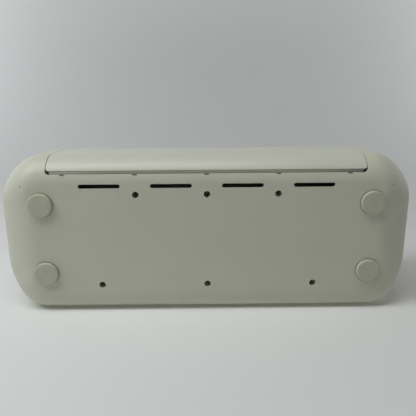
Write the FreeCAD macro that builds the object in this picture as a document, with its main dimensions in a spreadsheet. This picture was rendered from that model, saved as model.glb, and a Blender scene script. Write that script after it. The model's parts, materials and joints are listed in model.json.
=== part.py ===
"""Desktop cutting machine: a moulded case with a lid and a front door, a mat drive and a two-tool carriage.

Millimetres. +X is the user's right, -Y the front, +Z up. The origin is the middle of the rectangle that the
machine covers on the table, at the level of the table, with the lid and the door closed.
"""

import FreeCAD, Part
import math
import os
import re
import Sketcher
from FreeCAD import Placement, Rotation, Vector

doc = FreeCAD.newDocument("CuttingMachine")

# ---------------------------------------------------------------------------------------------------------
# Driving dimensions
# ---------------------------------------------------------------------------------------------------------

DRIVING = [
    # the case as a whole
    ("overall_width", 563, "over both rounded ends"),
    ("overall_depth", 210, "front of the door to the back"),
    ("overall_height", 150, "table to the top of the lid"),
    ("foot_height", 5, "underside of the case above the table"),
    ("corner_radius", 66, "corners of the case, seen from above"),
    ("low_round", 34, "lower edge, along the front and back"),
    ("low_end_round", 60, "lower edge, at the two ends"),
    ("top_round", 50, "upper edge, along the front and back"),
    ("top_end_round", 30, "upper edge, at the two ends"),
    ("wall", 2.6, "wall of the base and upper housings"),
    ("split_level", 74, "joint between base and upper housing"),
    ("fit_gap", 0.15, "clearance round a piece set into an opening"),
    ("running_gap", 0.05, "radial clearance of a pin in its hole"),
    ("sliding_gap", 0.3, "clearance beside a sliding piece"),
    # the door and the lid
    ("end_width", 77.3, "ends of the case beside the door and the lid"),
    ("seam_gap", 0.8, "open seam round the door and the lid"),
    ("skin", 2.4, "wall of the door and lid skins"),
    ("door_toe", 17.9, "front of the case to the lower edge of the door"),
    ("base_toe", 22.4, "front of the case to the edge of the base under the door"),
    ("door_corner", 4, "lower corners of the door"),
    ("door_pivot_setback", 15, "front of the case to the door's pivot"),
    ("door_pivot_level", 22, "door's pivot above the table"),
    ("door_roll", 9, "radius of the door's rolled lower edge"),
    ("door_thickness", 13, "front of the case to the door's inner face"),
    ("lid_drop", 34, "top of the case to the seam between the door and the lid"),
    ("lid_pivot_setback", 29, "back of the case to the lid's pivot"),
    ("lid_roll", 5, "radius of the lid's rolled rear edge"),
    ("lid_roll_gap", 2.1, "open gap behind the lid's rolled edge, wide enough for the lid to swing"),
    ("lid_liner_depth", 5.6, "thickness of the lid's liner"),
    ("hinge_pin_radius", 2.5, "hinge pins of the lid and the door"),
    ("hinge_pin_length", 16, "hinge pins, end to end"),
    ("apron_setback", 30, "front of the case to the wall behind the door"),
    ("apron_wall", 2.6, "thickness of the wall behind the door"),
    # storage pocket in the door
    ("pocket_inset", 28.2, "left edge of the door to the pocket"),
    ("pocket_width", 220, "length of the pocket"),
    ("pocket_floor", 55, "lower side of the pocket above the table"),
    ("pocket_rim", 17, "upper side of the pocket to the seam above it"),
    ("pocket_depth", 8.4, "depth of the pocket"),
    ("flap_thickness", 1.8, "flap over the pocket"),
    ("flap_ledge", 3, "ledge that the flap closes on"),
    ("flap_pin_radius", 1.2, "pin along the upper edge of the flap"),
    # underside
    ("foot_radius", 16.5, "rubber feet"),
    ("foot_inset", 68.3, "ends of the case to the middles of the feet"),
    ("foot_front", 43.7, "front feet ahead of the middle"),
    ("foot_back", 49.1, "rear feet behind the middle"),
    ("foot_recess", 1, "depth of the recess that holds a foot"),
    ("vent_pitch", 91.4, "vent slots and front screws, side to side"),
    ("vent_length", 53, "vent slot, end to end"),
    ("vent_width", 5.5, "vent slot, side to side"),
    ("vent_setback", 37.4, "front of the case to the vent slots"),
    ("front_screw_setback", 48.6, "front of the case to the front screws"),
    ("rear_screw_pitch", 140.7, "rear screws, side to side"),
    ("rear_screw_setback", 38.8, "back of the case to the rear screws"),
    ("well_radius", 4.3, "screw well in the underside"),
    ("boss_radius", 6.6, "boss round a screw well"),
    ("boss_height", 17, "boss above the underside"),
    ("boss_web", 4, "floor of the well, which the screw head pulls on"),
    ("screw_radius", 1.5, "shank of a housing screw"),
    ("screw_head_radius", 3.2, "head of a housing screw"),
    ("screw_head_height", 2.4, "head of a housing screw"),
    ("screw_grip", 12, "shank of a housing screw inside the deck's post"),
    ("post_radius", 4, "deck posts that the housing screws bite into"),
    ("notch_length", 6, "notches along the edge under the door"),
    ("notch_depth", 1.6, "notches along the edge under the door"),
    # mat path
    ("mat_level", 46, "top of the cutting deck above the table"),
    ("deck_thickness", 3, "cutting deck"),
    ("deck_side_gap", 2, "side frames to the edges of the cutting deck"),
    ("deck_front_setback", 26, "front of the case to the deck's front edge"),
    ("deck_rear_gap", 0.5, "deck's rear edge to the rear wall"),
    ("mat_slot_inset", 24, "side frames to the ends of the slot for the mat"),
    ("mat_slot_height", 11, "slot in the rear wall for the mat"),
    ("guide_inset", 21, "side frames to the middles of the mat guides"),
    ("guide_length", 34, "mat guides, front to back"),
    ("guide_width", 9, "mat guides, side to side"),
    ("guide_height", 6, "mat guides above the deck"),
    # frame and drive roller
    ("frame_inset", 8.2, "edges of the door to the side frames"),
    ("frame_thickness", 2, "steel side frames"),
    ("frame_front", 30, "side frames ahead of the roller"),
    ("frame_rear", 70, "side frames behind the roller"),
    ("frame_top", 118, "top of the side frames above the table"),
    ("roller_level", 38, "axis of the drive roller above the table"),
    ("roller_shaft_radius", 4, "shaft of the drive roller"),
    ("grip_radius", 8.4, "gripping bands of the drive roller"),
    ("grip_width", 24, "gripping bands of the drive roller"),
    ("grip_inset", 46, "side frames to the middles of the gripping bands"),
    ("grip_slot_gap", 1.5, "deck opening round a gripping band"),
    ("bush_radius", 6.5, "roller bush in its frame"),
    ("bush_flange_radius", 8.4, "flange of a roller bush"),
    ("bush_flange", 1.4, "flange of a roller bush"),
    ("gear_module", 1, "teeth of the roller gear and its pinion"),
    ("roller_gear_teeth", 30, "teeth of the roller gear"),
    ("pinion_teeth", 12, "teeth of the motor pinion"),
    ("gear_width", 4, "roller gear and pinion"),
    ("gear_backlash", 0.2, "added to the gears' centre distance"),
    ("gear_to_frame", 1.7, "side frame to the gears"),
    ("pinion_angle", 36, "pinion below the roller, seen from the side"),
    ("roller_motor_radius", 12, "motor that turns the roller"),
    ("roller_motor_length", 27, "motor that turns the roller"),
    ("motor_shaft_radius", 1.5, "shafts of both motors"),
    ("motor_shaft_depth", 9, "shafts inside the motors"),
    # pinch rollers
    ("pinch_radius", 6, "pinch rollers"),
    ("pinch_width", 18, "pinch rollers"),
    ("pinch_lift", 0.3, "pinch roller above the drive roller with no mat"),
    ("pinch_pin_radius", 2, "pins of the pinch rollers"),
    ("pinch_ear", 2.4, "ears that hold a pinch roller"),
    ("pinch_bar_size", 8, "square bar that carries the ears"),
    ("pinch_bar_behind", 14, "pinch bar behind the roller"),
    # carriage rail and belt
    ("rail_front", 20, "front of the rail behind the roller"),
    ("rail_depth", 16, "rail, front to back"),
    ("rail_level", 78, "underside of the rail above the table"),
    ("rail_height", 20, "rail, bottom to top"),
    ("rail_groove", 3, "long grooves of the rail"),
    ("belt_behind", 46, "middle of the belt behind the roller"),
    ("belt_width", 6, "drive belt"),
    ("belt_thickness", 1.2, "drive belt"),
    ("belt_level", 88, "pulley axes above the table"),
    ("pulley_radius", 6, "belt pulleys"),
    ("pulley_flange", 1.5, "pulley flanges above the belt's seat"),
    ("pulley_teeth", 14, "teeth of a belt pulley"),
    ("pulley_inset", 20, "side frames to the pulley axes"),
    ("belt_motor_radius", 17, "motor that drives the belt"),
    ("belt_motor_length", 22, "motor that drives the belt"),
    ("bracket_thickness", 2, "steel brackets of the belt pulleys"),
    ("bracket_height", 36, "brackets, bottom to top"),
    ("bracket_reach", 16, "brackets inward of the pulley axes"),
    # carriage
    ("park_gap", 13, "parked carriage to the right side frame"),
    ("chassis_width", 66, "carriage chassis, side to side"),
    ("chassis_front", 7, "chassis ahead of the roller"),
    ("chassis_floor", 64, "underside of the chassis above the table"),
    ("hook_thickness", 3.4, "arms of the chassis over and under the rail"),
    ("hook_reach", 5, "arms of the chassis behind the rail's front face"),
    ("glide_thickness", 1.2, "glides between the chassis and the rail"),
    ("tool_pitch", 34, "tool holders, side to side"),
    ("tool_ahead", 18, "tool axes ahead of the roller"),
    ("tool_radius", 9, "bore of a tool holder"),
    ("holder_width", 27, "tool holders, side to side"),
    ("holder_depth", 24, "tool holders, front to back"),
    ("holder_floor", 68, "underside of a holder above the table"),
    ("holder_height", 28, "tool holders, bottom to top"),
    ("holder_round", 4, "rounded front edges of the tool holders"),
    ("tail_width", 12, "dovetail of a holder, at its foot"),
    ("tail_neck", 8, "dovetail of a holder, at its neck"),
    ("tail_depth", 5, "dovetail of a holder"),
    ("lever_width", 20, "clamp levers"),
    ("lever_thickness", 3, "clamp levers"),
    ("lever_height", 26, "clamp levers"),
    ("lever_pin_radius", 0.9, "pins of the clamp levers"),
    ("lever_tab", 5, "finger tabs of the clamp levers"),
    ("cover_height", 13, "carriage cover"),
    ("cover_wall", 1.8, "carriage cover"),
    ("cover_round", 5, "rounded edges of the carriage cover"),
    ("lift_motor_radius", 4.5, "motor that lifts the tools"),
    ("lift_motor_length", 20, "motor that lifts the tools"),
    ("clip_width", 20, "belt clip, side to side"),
    ("blade_sleeve", 3.2, "radius of the blade housing's tip"),
    ("blade_radius", 0.6, "blade"),
    ("blade_reach", 1.2, "blade beyond its housing"),
    ("blade_level", 53.4, "tip of the blade above the table, lifted"),
    # electronics
    ("board_left", 15, "left edge of the main board"),
    ("board_width", 112, "main board, side to side"),
    ("board_rear_gap", 8.4, "rear edge of the main board to the rear wall"),
    ("board_depth", 82, "main board, front to back"),
    ("board_level", 24, "underside of the main board above the table"),
    ("board_thickness", 1.6, "circuit boards"),
    ("standoff_radius", 3, "posts that carry the main board"),
    ("board_margin", 5, "edges of the main board to its screws"),
    ("board_screw_setback", 27, "rear edge of the main board to its rear screws"),
    ("board_screw_head", 2.5, "radius of a board screw's head"),
    ("processor_size", 14, "square processor on the main board"),
    ("driver_size", 10, "square motor driver on the main board"),
    ("chip_height", 1.6, "chips on the main board"),
    ("plug_length", 22, "cable plugs on the main board"),
    ("plug_width", 7, "cable plugs on the main board"),
    ("plug_height", 6, "cable plugs on the main board"),
    ("capacitor_radius", 4, "capacitors on the main board"),
    ("capacitor_height", 10, "capacitors on the main board"),
    ("socket_height", 11, "power jack and USB socket above the board"),
    ("socket_length", 16, "power jack and USB socket, front to back"),
    ("socket_proud", 2, "sockets beyond the rear edge of the board"),
    ("socket_depth", 9, "depth of the sockets' mouths"),
    ("jack_width", 9, "power jack, side to side"),
    ("jack_pin_radius", 1, "pin in the power jack"),
    ("usb_width", 12, "USB socket, side to side"),
    ("usb_wall", 1.7, "shell of the USB socket"),
    ("usb_tongue_height", 3, "tongue in the USB socket"),
    ("jack_x", 100, "power jack right of the middle"),
    ("usb_x", 72, "USB socket right of the middle"),
    ("jack_radius", 2.9, "mouth of the power jack"),
    # controls in the right end, cup in the left end
    ("panel_margin", 7.8, "edge of the lid to the control panel"),
    ("panel_width", 32, "control panel, side to side"),
    ("panel_length", 96, "control panel, front to back"),
    ("panel_lip", 2.5, "hidden rim under the housing"),
    ("panel_thickness", 1.8, "control panel under the housing"),
    ("panel_post_radius", 2, "posts that hold the button board under the panel"),
    ("button_radius", 7, "push buttons"),
    ("button_pitch", 23, "push buttons, front to back"),
    ("button_travel", 1, "push buttons"),
    ("button_stem", 6, "length of a button under the panel"),
    ("button_stem_radius", 2.5, "stem of a button"),
    ("button_collar", 1.4, "collar that holds a button under the panel"),
    ("button_proud", 0.6, "rounded edge of a button"),
    ("cup_margin", 5.2, "edge of the lid to the flange of the tool cup"),
    ("cup_radius", 16, "inside of the tool cup"),
    ("cup_wall", 1.6, "tool cup"),
    ("cup_flange", 3, "hidden flange under the housing"),
    ("cup_depth", 62, "inside of the tool cup"),
]

sizes = doc.addObject("Spreadsheet::Sheet", "Sizes")
for row, (alias, value, note) in enumerate(DRIVING, 1):
    sizes.set(f"A{row}", note)
    sizes.set(f"B{row}", str(value))
    sizes.setAlias(f"B{row}", alias)

# Places and lengths that follow from the driving dimensions. Every formula uses names from either table.
WORKED_OUT = [
    ("half_width", "overall_width / 2"),
    ("half_depth", "overall_depth / 2"),
    ("floor_level", "foot_height + wall"),
    ("ceiling_level", "overall_height - wall"),
    ("door_half", "half_width - end_width"),
    ("door_width", "2 * door_half"),
    ("lid_seam_level", "overall_height - lid_drop"),
    ("opening_half", "door_half + seam_gap"),
    ("cheek_half", "opening_half + wall"),
    ("front", "-half_depth"),
    ("door_back", "front + door_thickness"),
    ("door_pivot_y", "front + door_pivot_setback"),
    ("lid_pivot_y", "half_depth - lid_pivot_setback"),
    ("lid_turn_y", "lid_pivot_y - half_depth + top_round"),
    ("lid_turn_radius", "top_round - lid_roll"),
    ("lid_pivot_level", "overall_height - top_round + sqrt(lid_turn_radius ^ 2 - lid_turn_y ^ 2)"),
    ("lid_edge_y", "lid_pivot_y + lid_roll * lid_turn_y / lid_turn_radius"),
    ("pocket_left", "-door_half + pocket_inset"),
    ("pocket_top", "lid_seam_level - pocket_rim"),
    ("foot_x", "half_width - foot_inset"),
    ("apron_front", "front + apron_setback"),
    ("deck_front", "front + deck_front_setback"),
    ("deck_rear", "half_depth - wall - deck_rear_gap"),
    ("deck_under", "mat_level - deck_thickness"),
    ("boss_top", "foot_height + boss_height"),
    ("well_floor", "boss_top - boss_web"),
    ("front_screw_y", "front + front_screw_setback"),
    ("rear_screw_y", "half_depth - rear_screw_setback"),
    ("vent_y", "front + vent_setback"),
    ("frame_half", "door_half - frame_inset"),
    ("frame_spacing", "2 * frame_half"),
    ("frame_outside", "frame_half + frame_thickness"),
    ("deck_half", "frame_half - deck_side_gap"),
    ("mat_slot_half", "frame_half - mat_slot_inset"),
    ("guide_x", "frame_half - guide_inset"),
    ("grip_x", "frame_half - grip_inset"),
    ("roller_gear_radius", "gear_module * roller_gear_teeth / 2"),
    ("pinion_radius", "gear_module * pinion_teeth / 2"),
    ("gear_centres", "roller_gear_radius + pinion_radius + gear_backlash"),
    ("pinion_y", "gear_centres * cos(pinion_angle * 1 deg)"),
    ("pinion_level", "roller_level - gear_centres * sin(pinion_angle * 1 deg)"),
    ("gear_inside", "frame_outside + gear_to_frame"),
    ("pinch_level", "roller_level + grip_radius + pinch_lift + pinch_radius"),
    ("rail_back", "rail_front + rail_depth"),
    ("rail_top", "rail_level + rail_height"),
    ("pulley_x", "frame_half - pulley_inset"),
    ("belt_inner", "pulley_radius + sliding_gap"),
    ("belt_outer", "belt_inner + belt_thickness"),
    ("belt_front", "belt_behind - belt_width / 2"),
    ("belt_back", "belt_behind + belt_width / 2"),
    ("carriage_home", "frame_half - park_gap - chassis_width / 2"),
    ("arm_low", "rail_level - glide_thickness - sliding_gap"),
    ("arm_high", "rail_top + glide_thickness + sliding_gap"),
    ("chassis_top", "arm_high + hook_thickness"),
    ("tool_y", "-tool_ahead"),
    ("holder_back", "-chassis_front - sliding_gap"),
    ("holder_front", "holder_back - holder_depth"),
    ("holder_top", "holder_floor + holder_height"),
    ("lever_pin_y", "holder_front + lever_thickness / 2"),
    ("lever_pin_level", "holder_floor + lever_thickness"),
    ("board_back", "half_depth - wall - board_rear_gap"),
    ("board_front", "board_back - board_depth"),
    ("panel_x", "door_half + panel_margin + panel_width / 2"),
    ("panel_under", "ceiling_level - panel_thickness"),
    ("button_board_top", "panel_under - button_stem - button_travel - fit_gap"),
    ("cup_outer", "cup_radius + cup_wall"),
    ("cup_x", "door_half + cup_margin + cup_flange + cup_outer"),
]
NAMES = {alias: "Sizes" for alias, _value, _note in DRIVING}
NAMES.update({alias: "Places" for alias, _formula in WORKED_OUT})
WORD = re.compile(r"[a-z][a-z_]*[a-z]")


def linked(formula):
    """Writes each name of a formula with the sheet that holds it."""
    return WORD.sub(lambda word: f"{NAMES[word[0]]}.{word[0]}" if word[0] in NAMES else word[0], str(formula))


probe = doc.addObject("Spreadsheet::Sheet", "Probe")
places = doc.addObject("Spreadsheet::Sheet", "Places")
for row, (alias, formula) in enumerate(WORKED_OUT, 1):
    places.set(f"A{row}", alias)
    places.set(f"B{row}", "=" + linked(formula).replace("Places.", ""))
    places.setAlias(f"B{row}", alias)
doc.recompute()


def size(name):
    """The present value of a named size or place."""
    return float(getattr(doc.getObject(NAMES[name]), name))


# ---------------------------------------------------------------------------------------------------------
# Ways of making a piece
# ---------------------------------------------------------------------------------------------------------

QUARTER_TURN = 90
TURN_TO = {
    "x": Rotation(Vector(0, 1, 0), QUARTER_TURN),
    "y": Rotation(Vector(1, 0, 0), -QUARTER_TURN),
    "z": Rotation(),
}


def bind(thing, prop, formula):
    thing.setExpression(prop, linked(formula))


def stand_at(thing, x, y, z, rotation=None):
    """Puts a piece at three formulas, turned first where a rotation is given."""
    if rotation:
        thing.Placement = Placement(Vector(), rotation)
    for axis, formula in zip("xyz", (x, y, z)):
        bind(thing, f"Placement.Base.{axis}", formula)
    return thing


def block(label, x, y, z):
    """A block between pairs of formulas on each axis."""
    made = doc.addObject("Part::Box", label)
    for prop, (low, high) in zip(("Length", "Width", "Height"), (x, y, z)):
        bind(made, prop, f"({high}) - ({low})")
    return stand_at(made, x[0], y[0], z[0])


def rod(label, axis, radius, length, x, y, z):
    """A round bar that runs from a point along an axis."""
    made = doc.addObject("Part::Cylinder", label)
    bind(made, "Radius", radius)
    bind(made, "Height", length)
    return stand_at(made, x, y, z, TURN_TO[axis])


def joined(label, *pieces):
    made = doc.addObject("Part::MultiFuse", label)
    made.Shapes = list(pieces)
    made.Refine = True
    return made


def shared(label, *pieces):
    made = doc.addObject("Part::MultiCommon", label)
    made.Shapes = list(pieces)
    return made


def less(label, base, *tools):
    """What is left of a piece once others are cut out of it."""
    made = doc.addObject("Part::Cut", label)
    made.Base = base
    made.Tool = tools[0] if len(tools) == 1 else group(label + "_tools", *tools)
    made.Refine = True
    return made


def group(label, *pieces):
    """Separate solids kept together."""
    made = doc.addObject("Part::Compound", label)
    made.Links = list(pieces)
    return made


def rounded(label, base, radius, chosen):
    """Rounds the edges whose two ends satisfy a test."""
    doc.recompute()
    made = doc.addObject("Part::Fillet", label)
    made.Base = base
    edges = enumerate(base.Shape.Edges, 1)
    made.Edges = [(number, radius, radius) for number, edge in edges if chosen(*ends(edge))]
    return made


def ends(edge):
    return edge.valueAt(edge.FirstParameter), edge.valueAt(edge.LastParameter)


def upright(low, high):
    return abs(low.z - high.z) > 1e-3 and math.hypot(low.x - high.x, low.y - high.y) < 1e-3


def new_sketch(body, plane, label):
    sketch = body.newObject("Sketcher::SketchObject", label)
    support = next(item for item in body.Origin.OriginFeatures if item.Role == plane)
    sketch.AttachmentSupport = [(support, "")]
    sketch.MapMode = "FlatFace"
    return sketch


def measured(formula):
    """The value of a formula, for the first guess of a sketch."""
    probe.set("A1", "=" + linked(formula))
    probe.recompute()
    return float(probe.get("A1"))


def add_outline(sketch, corners):
    """Closes straight lines through corners and fixes each corner by two formulas."""
    points = [Vector(measured(across), measured(up), 0) for across, up in corners]
    lines = []
    for start, end in zip(points, points[1:] + points[:1]):
        lines.append(sketch.addGeometry(Part.LineSegment(start, end), False))
    for line, following in zip(lines, lines[1:] + lines[:1]):
        sketch.addConstraint(Sketcher.Constraint("Coincident", line, 2, following, 1))
    for line, point, formulas in zip(lines, points, corners):
        for kind, value, formula in zip(("DistanceX", "DistanceY"), point, formulas):
            rule = sketch.addConstraint(Sketcher.Constraint(kind, -1, 1, line, 1, value))
            bind(sketch, f"Constraints[{rule}]", formula)


def add_circle(sketch, across, up, radius):
    centre = Vector(measured(across), measured(up), 0)
    ring = sketch.addGeometry(Part.Circle(centre, Vector(0, 0, 1), measured(radius)), False)
    rules = (("DistanceX", centre.x, across), ("DistanceY", centre.y, up))
    for kind, value, formula in rules:
        rule = sketch.addConstraint(Sketcher.Constraint(kind, -1, 1, ring, 3, value))
        bind(sketch, f"Constraints[{rule}]", formula)
    rule = sketch.addConstraint(Sketcher.Constraint("Radius", ring, measured(radius)))
    bind(sketch, f"Constraints[{rule}]", radius)


def turned(label, axis, outline, x, y, z):
    """A turned piece: (radius, height) corners spun about the axis that it stands on."""
    body = doc.addObject("PartDesign::Body", label)
    sketch = new_sketch(body, "XZ_Plane", label + "_profile")
    add_outline(sketch, outline)
    spin = body.newObject("PartDesign::Revolution", label + "_turning")
    spin.Profile = sketch
    spin.ReferenceAxis = (sketch, ["V_Axis"])
    spin.Angle = 360
    return stand_at(body, x, y, z, TURN_TO[axis])


def cast(label, plane, outline, length, x, y, z, holes=()):
    """A flat or long piece: an outline on one plane, with round holes, carried along that plane's normal."""
    body = doc.addObject("PartDesign::Body", label)
    sketch = new_sketch(body, plane, label + "_outline")
    add_outline(sketch, outline)
    for hole in holes:
        add_circle(sketch, *hole)
    pad = body.newObject("PartDesign::Pad", label + "_length")
    pad.Profile = sketch
    bind(pad, "Length", length)
    return stand_at(body, x, y, z)


NODES = []


def keep(piece, label=None):
    """Counts a finished piece among those that are written out."""
    if label:
        piece.Label = label
    NODES.append(piece)
    return piece


# ---------------------------------------------------------------------------------------------------------
# The case's form: one smooth closed shape that every outer skin is taken from
# ---------------------------------------------------------------------------------------------------------


def case_form(label, inset):
    """The case's outer form, or the same form a wall's thickness inside it.

    A block whose upright corners are rounded first. Its lower and upper loops are rounded next, with a radius
    that changes along each corner from the front's value to the end's.
    """
    depth = measured(inset)
    blank = block(
        label + "_blank",
        (f"-half_width + ({inset})", f"half_width - ({inset})"),
        (f"-half_depth + ({inset})", f"half_depth - ({inset})"),
        (f"foot_height + ({inset})", f"overall_height - ({inset})"),
    )
    plan = rounded(label + "_plan", blank, size("corner_radius") - depth, upright)
    doc.recompute()
    made = doc.addObject("Part::Fillet", label)
    made.Base = plan

    def radius_at(point):
        at_end = abs(abs(point.x) - size("half_width") + depth) < 1e-4
        if point.z < size("split_level"):
            return size("low_end_round" if at_end else "low_round") - depth
        return size("top_end_round" if at_end else "top_round") - depth

    # Both radii of an edge are given in the direction in which its loop's first edge runs.
    loops = []
    loop_runs_left = {}
    for number, edge in enumerate(plan.Shape.Edges, 1):
        start, end = ends(edge)
        if upright(start, end):
            continue
        runs_left = start.x * end.y - start.y * end.x > 0
        if loop_runs_left.setdefault(start.z < size("split_level"), runs_left) != runs_left:
            start, end = end, start
        loops.append((number, radius_at(start), radius_at(end)))
    made.Edges = loops
    return made


FAR = "overall_width"
case_outside = case_form("case_outside", "0")
case_inside = case_form("case_inside", "wall")
skin_inside = case_form("skin_inside", "skin")
liner_inside = case_form("liner_inside", "skin + lid_liner_depth")


def both_ends(make):
    """Makes a piece at the left end and at the right end; the sign says which."""
    return [make(side, name) for side, name in (("-1", "left"), ("1", "right"))]


def span(side, low, high):
    """The X range from low to high at one end, lower number first."""
    return (low, high) if side == "1" else (f"-({high})", f"-({low})")


def cheeks(name, low, high, back):
    """The walls beside the door and the lid, which close the two end compartments."""
    def one(side, end):
        slab = block(
            f"{name}_cheek_{end}_slab", span(side, "opening_half", "cheek_half"), ("front", back), (low, high)
        )
        return shared(f"{name}_cheek_{end}", case_outside, slab)
    return both_ends(one)


# ---------------------------------------------------------------------------------------------------------
# Base housing: floor, rear wall with the mat slot, front apron, screw bosses, vents and recesses
# ---------------------------------------------------------------------------------------------------------

lower_half = block("lower_half", (f"-{FAR}", FAR), (f"-{FAR}", FAR), ("0", "split_level"))
base_shell = less("base_shell", shared("base_blank", case_outside, lower_half), case_inside)

door_bay = rounded(
    "door_bay",
    block(
        "door_bay_blank",
        ("-opening_half", "opening_half"),
        ("front - wall", "front + base_toe"),
        ("0", "overall_height + wall"),
    ),
    size("door_corner") + size("seam_gap"),
    lambda low, high: upright(low, high) and low.y > size("front"),
)

apron = block(
    "apron",
    ("-opening_half - wall / 2", "opening_half + wall / 2"),
    ("apron_front", "apron_front + apron_wall"),
    ("foot_height + wall / 2", "deck_under"),
)

SCREW_PLACES = [(f"{step} * vent_pitch", "front_screw_y") for step in (-1, 0, 1)]
SCREW_PLACES += [(f"{step} * rear_screw_pitch", "rear_screw_y") for step in (-1, 0, 1)]
bosses = []
wells = []
for number, (across, along) in enumerate(SCREW_PLACES, 1):
    bosses.append(
        rod(
            f"boss_{number}",
            "z",
            "boss_radius",
            "boss_height - wall / 2",
            across,
            along,
            "foot_height + wall / 2",
        )
    )
    wells.append(rod(f"well_{number}", "z", "well_radius", "well_floor", across, along, "0"))
    wells.append(
        rod(f"screw_hole_{number}", "z", "screw_radius + fit_gap", "boss_top + wall", across, along, "0")
    )

BOARD_POSTS = [
    (f"board_left + {edge_x}", f"board_front + {edge_y}")
    for edge_x in ("board_margin", "board_width - board_margin")
    for edge_y in ("board_margin", "board_depth - board_screw_setback")
]
standoffs = [
    rod(
        f"standoff_{number}",
        "z",
        "standoff_radius",
        "board_level - foot_height - wall / 2",
        across,
        along,
        "foot_height + wall / 2",
    )
    for number, (across, along) in enumerate(BOARD_POSTS, 1)
]


def vent(number, steps):
    """A slot with round ends through the floor."""
    across = f"{steps} * vent_pitch"
    slot = block(
        f"vent_{number}_blank",
        (f"{across} - vent_length / 2", f"{across} + vent_length / 2"),
        ("vent_y - vent_width / 2", "vent_y + vent_width / 2"),
        ("0", "floor_level + wall"),
    )
    return rounded(f"vent_{number}", slot, size("vent_width") / 2 - 0.01, upright)


vents = [vent(number, steps) for number, steps in enumerate((-1.5, -0.5, 0.5, 1.5), 1)]

FOOT_PLACES = {
    "foot_front_left": ("-foot_x", "-foot_front"),
    "foot_front_right": ("foot_x", "-foot_front"),
    "foot_rear_left": ("-foot_x", "foot_back"),
    "foot_rear_right": ("foot_x", "foot_back"),
}
foot_recesses = [
    rod(f"{name}_recess", "z", "foot_radius + fit_gap", "foot_height + foot_recess", across, along, "0")
    for name, (across, along) in FOOT_PLACES.items()
]

notches = [
    block(
        f"notch_{number}",
        (f"{steps} * vent_pitch - notch_length / 2", f"{steps} * vent_pitch + notch_length / 2"),
        ("front", "front + base_toe + notch_depth"),
        ("0", "floor_level + wall"),
    )
    for number, steps in enumerate((-2, -1, 0, 1, 2), 1)
]

mat_slot = block(
    "mat_slot",
    ("-mat_slot_half", "mat_slot_half"),
    ("half_depth - 2 * wall", "half_depth + wall"),
    ("mat_level", "mat_level + mat_slot_height"),
)
jack_hole = rod(
    "jack_hole",
    "y",
    "jack_radius + 1.2",
    "overall_depth",
    "jack_x",
    "board_front",
    "board_level + board_thickness + socket_height / 2",
)
usb_hole = block(
    "usb_hole",
    ("usb_x - 6.4", "usb_x + 6.4"),
    ("rear_screw_y", "half_depth + wall"),
    ("board_level + board_thickness + 0.4", "board_level + board_thickness + 11.6"),
)
door_pin_holes = rod(
    "door_pin_holes",
    "x",
    "hinge_pin_radius",
    "2 * cheek_half + 2 * wall",
    "-cheek_half - wall",
    "door_pivot_y",
    "door_pivot_level",
)

base_solid = joined(
    "base_solid", base_shell, *cheeks("base", "0", "split_level", "half_depth"), *bosses, *standoffs
)
base_open = less(
    "base_open", base_solid, door_bay, *wells, *vents, *foot_recesses, *notches, mat_slot, jack_hole, usb_hole,
    door_pin_holes,
)
base_housing = keep(joined("base_housing", base_open, apron))

# ---------------------------------------------------------------------------------------------------------
# Upper housing: the two end caps, joined by the strip behind the lid and the upper rear wall
# ---------------------------------------------------------------------------------------------------------

upper_half = block("upper_half", (f"-{FAR}", FAR), (f"-{FAR}", FAR), ("split_level", "overall_height + wall"))
upper_shell = less("upper_shell", shared("upper_blank", case_outside, upper_half), case_inside)
lid_bay = block(
    "lid_bay",
    ("-opening_half", "opening_half"),
    ("front - wall", "lid_pivot_y"),
    ("0", "overall_height + wall"),
)
lid_roll_clearance = rod(
    "lid_roll_clearance",
    "x",
    "lid_roll + lid_roll_gap",
    "2 * opening_half",
    "-opening_half",
    "lid_pivot_y",
    "lid_pivot_level",
)
lid_pin_holes = rod(
    "lid_pin_holes",
    "x",
    "hinge_pin_radius",
    "2 * cheek_half + 2 * wall",
    "-cheek_half - wall",
    "lid_pivot_y",
    "lid_pivot_level",
)
panel_opening = rounded(
    "panel_opening",
    block(
        "panel_opening_blank",
        ("panel_x - panel_width / 2 - fit_gap", "panel_x + panel_width / 2 + fit_gap"),
        ("-panel_length / 2 - fit_gap", "panel_length / 2 + fit_gap"),
        ("ceiling_level - wall", "overall_height + wall"),
    ),
    size("door_corner") + size("fit_gap"),
    upright,
)
cup_opening = rod(
    "cup_opening", "z", "cup_outer + fit_gap", "3 * wall", "-cup_x", "0", "overall_height - 2 * wall"
)
upper_solid = joined(
    "upper_solid", upper_shell, *cheeks("upper", "split_level", "overall_height", "half_depth")
)
upper_housing = keep(
    less("upper_housing", upper_solid, lid_bay, lid_roll_clearance, lid_pin_holes, panel_opening, cup_opening)
)

# ---------------------------------------------------------------------------------------------------------
# Front door: a skin with a liner behind it, whose rolled lower edge turns on two pins
# ---------------------------------------------------------------------------------------------------------

door_area = rounded(
    "door_area",
    block(
        "door_area_blank",
        ("-door_half", "door_half"),
        ("front - wall", "front + door_toe"),
        ("0", "lid_seam_level - seam_gap / 2"),
    ),
    size("door_corner"),
    lambda low, high: upright(low, high) and low.y > size("front"),
)
door_shell = keep(less("door_shell", shared("door_blank", case_outside, door_area), skin_inside))

door_plate = block(
    "door_plate",
    ("-door_half + skin / 4", "door_half - skin / 4"),
    ("front", "door_back"),
    ("door_pivot_level", "lid_seam_level - 2 * skin"),
)
door_roll_bar = rod(
    "door_roll_bar",
    "x",
    "door_roll",
    "door_width - skin / 2",
    "-door_half + skin / 4",
    "door_pivot_y",
    "door_pivot_level",
)
door_liner_solid = shared(
    "door_liner_solid", joined("door_liner_blank", door_plate, door_roll_bar), skin_inside
)


def hinge_bores(name, y, z):
    """Bores in both ends of a rolled edge, a little deeper than the pins reach."""
    def one(side, end):
        start = "door_half - hinge_pin_length" if side == "1" else "-door_half - wall"
        return rod(
            f"{name}_bore_{end}",
            "x",
            "hinge_pin_radius + running_gap",
            "hinge_pin_length + wall",
            start,
            y,
            z,
        )
    return both_ends(one)


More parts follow.
